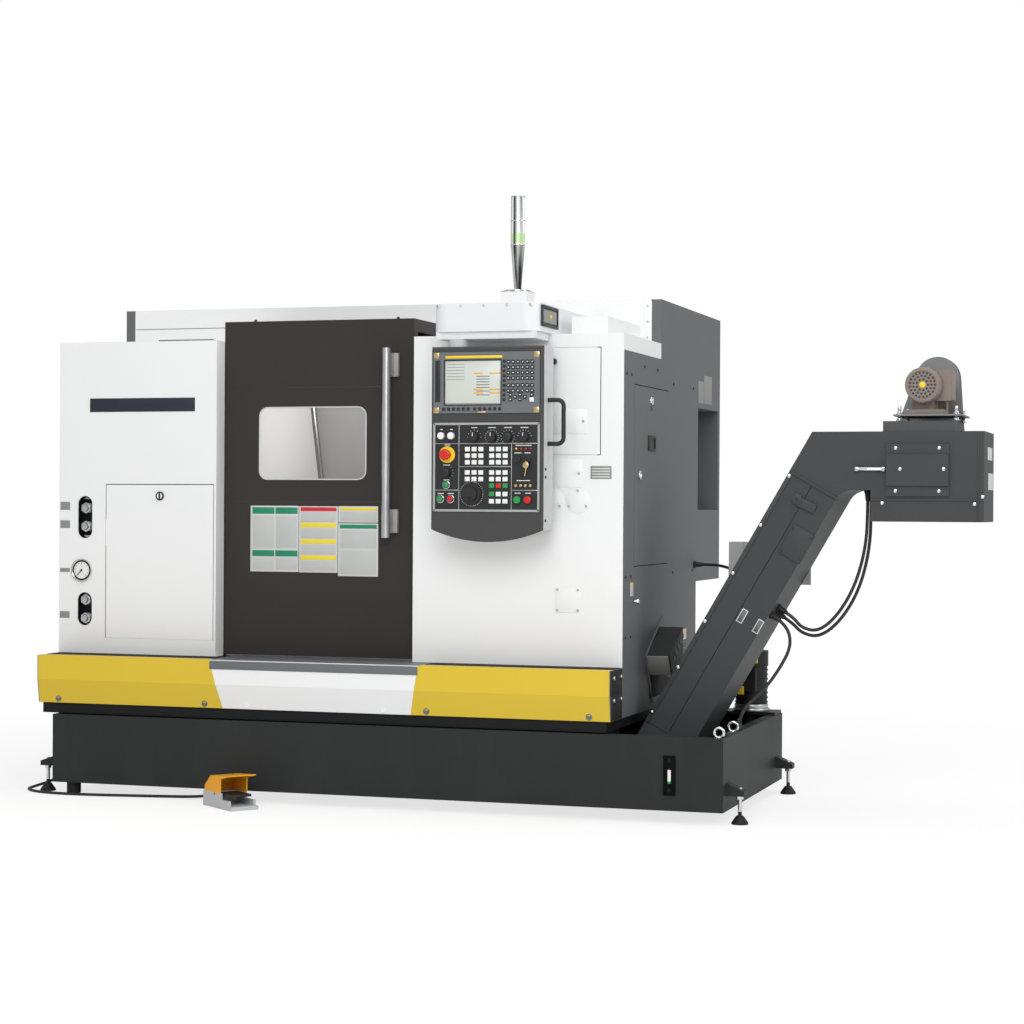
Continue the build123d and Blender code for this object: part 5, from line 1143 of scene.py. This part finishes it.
# Dark discs on the fan cover, painted as the shade inside its grille holes.
holes = []
for ring, count in ((20, 9), (32, 15), (44, 21)):
    for step in range(count):
        lean = math.tau * step / count
        x, z = motor_x + ring * math.cos(lean), motor_z + ring * math.sin(lean)
        holes.append(front_rod(x, z, motor_front - 2.5, 1.1, 4, 0.3, 12))
settle("motor_cover_holes", panel_black, holes)
badge = front_rod(motor_x, motor_z, motor_front - 2, 3, 11, 0.8)
settle("motor_badge", stop_yellow, badge)
lid_outline = (motor_front + 62, motor_z - 53, motor_front + 148, motor_z + 53)
settle("terminal_lid", motor_coat, side_plates([lid_outline], motor_x + 92, 8, 2))
studs = [(x, y) for x in (961, 1162) for y in (225, 450)]
stud_nuts = spread(hex_head, [(x, y, z) for x, y in studs for z in (1452, 1430)], up)
stud_sleeves = [upright_rod(x, y, 1461, 1481, 6.5, 0.8) for x, y in studs]
settle("tray_nuts", chrome, [stud_nuts] + stud_sleeves)

# Pump and pan
pump_x, pump_y = 300, 850
pump_ribs = [upright_rod(pump_x, pump_y, z, z + 7, 65, 2, 40) for z in range(350, 490, 18)]
settle("pump_ribs", pump_coat, pump_ribs)
pump_labels = plates([(313, 508, 338, 536)], 788, 6, 0.6) + plates([(262, 388, 290, 420)], 753, 4, 0.6)
settle("pump_blank_labels", stop_yellow, pump_labels)
settle("pump_lamp", green_plastic, front_rod(277, 434, 756, 10, 7, 2))
foot_steps = [(318, 330, 72), (330, 346, 66)]
pump_foot = [upright_rod(pump_x, pump_y, low, high, radius, 2, 40) for low, high, radius in foot_steps]
settle("pump_foot_ring", zinc, pump_foot)
pan_face = low_of("coolant_tank").y
gauge_frame = [front_frame(193, 238, 99, 240, pan_face - 4, pan_face, 6, 4)]
gauge_frame += plates([(198, 104, 233, 235)], pan_face, 1.5)
settle("sight_gauge_frame", gauge_black, gauge_frame)
sight_x, sight_y = 216, pan_face - 5
settle("sight_gauge_tube", key_white, upright_rod(sight_x, sight_y, 150, 190, 6, 1))
settle("sight_gauge_float", green_plastic, upright_rod(sight_x, sight_y, 142, 150, 6, 1))
sight_ends = [front_rod(sight_x, z, pan_face, 9, 9, 1.5, 6) for z in (118, 222)]
settle("sight_gauge_bolts", seam_black, sight_ends)
lifting_ring = eye_bolt()
eye_bolts = spread(lifting_ring, [(385, -119, 297), (385, 115, 297)], up)
settle("pan_eye_bolts", chrome, eye_bolts)

# Cable glands
incline_feet = [off_incline(300, 750, 0), off_incline(330, 730, 0), off_incline(250, 725, 0)]
gland_places = [
    ([(0, 1130, 882)], to_right),
    ([(302.5, 623, 892)], to_rear),
    ([(838, 300, 1181), (846, 330, 1181)], (0, 0, -1)),
    ([(388, 200, 306)], up),
    ([(-2223, 92, 72)], to_left),
    (incline_feet, (math.sin(incline_lean), 0, -math.cos(incline_lean))),
    ([off_pedal(0)], (-math.cos(pedal_lean), math.sin(pedal_lean), 0)),
]
glands = [spread(gland, places, facing) for places, facing in gland_places]
settle("cable_glands", black_plastic, glands)
for master in (small_screw, cap_screw, hex_head, small_hex, gland, plug, lifting_ring):
    bpy.data.objects.remove(master)

# Studio
floor_size = 60


def studio_white(name, strength, near, far):
    """Matt white that keeps its shadows near the object and runs out to plain white further off."""
    finish = Finish(name)
    cloud = finish.noise(0.6, 2)
    finish.give(Base_Color=finish.mix(cloud, (0.86, 0.86, 0.86, 1), (0.88, 0.88, 0.88, 1)), Roughness=0.9)
    seen = finish.node("ShaderNodeLightPath", out="Is Camera Ray")
    through = finish.node("ShaderNodeLightPath", out="Is Transmission Ray")
    off_x, off_y = finish.along("X"), finish.along("Y")
    reach = finish.node("ShaderNodeClamp", inputs={0: (off_x * off_x + off_y * off_y) * 0.05 - 0.15})
    share = reach * (far - near) + near
    glow = finish.tree.nodes.new("ShaderNodeEmission")
    glow.inputs[1].default_value = strength
    blend = finish.tree.nodes.new("ShaderNodeMixShader")
    finish.feed(blend, 0, finish.node("ShaderNodeClamp", inputs={0: seen + through}) * share)
    finish.tree.links.new(finish.shader.outputs[0], blend.inputs[1])
    finish.tree.links.new(glow.outputs[0], blend.inputs[2])
    finish.tree.links.new(blend.outputs[0], finish.tree.nodes["Material Output"].inputs[0])
    return finish.material


let_go()
bpy.ops.mesh.primitive_plane_add(size=floor_size, location=(0, 0, 0))
floor = bpy.context.object
floor.name = "studio_floor"
floor.data.materials.append(studio_white("floor_white", 1.06, 0.70, 0.92))

world = bpy.data.worlds.new("studio_light")
bpy.context.scene.world = world
world.use_nodes = True
sky = world.node_tree
dome = sky.nodes["Background"]
dome.inputs[0].default_value = (1, 1, 1, 1)
rays = sky.nodes.new("ShaderNodeLightPath")
seen = sky.nodes.new("ShaderNodeMath")
seen.operation = "MAXIMUM"
sky.links.new(rays.outputs["Is Camera Ray"], seen.inputs[0])
sky.links.new(rays.outputs["Is Transmission Ray"], seen.inputs[1])
level_of = sky.nodes.new("ShaderNodeMapRange")
level_of.inputs["To Min"].default_value = 0.55
level_of.inputs["To Max"].default_value = 1.0
sky.links.new(seen.outputs[0], level_of.inputs["Value"])
sky.links.new(level_of.outputs[0], dome.inputs[1])


def lamp(name, place, aim, size, power):
    """A square soft box that faces a point."""
    data = bpy.data.lights.new(name, "AREA")
    data.size = size
    data.energy = power
    box = bpy.data.objects.new(name, data)
    box.location = place
    box.rotation_euler = (aim - place).to_track_quat("-Z", "Y").to_euler()
    bpy.context.collection.objects.link(box)


middle = Vector((0, 0, 0.9))
lamp("front_soft_box", Vector((1.6, -6.5, 4.2)), middle, 4, 208)
lamp("work_light", at(-880, 450, 1560), at(-1612, 800, 1350), 0.4, 8)
lamp("top_soft_box", Vector((0, 0.2, 5.5)), middle, 4, 100)
lamp("right_soft_box", Vector((6.5, -1.0, 3.8)), middle, 3, 102)
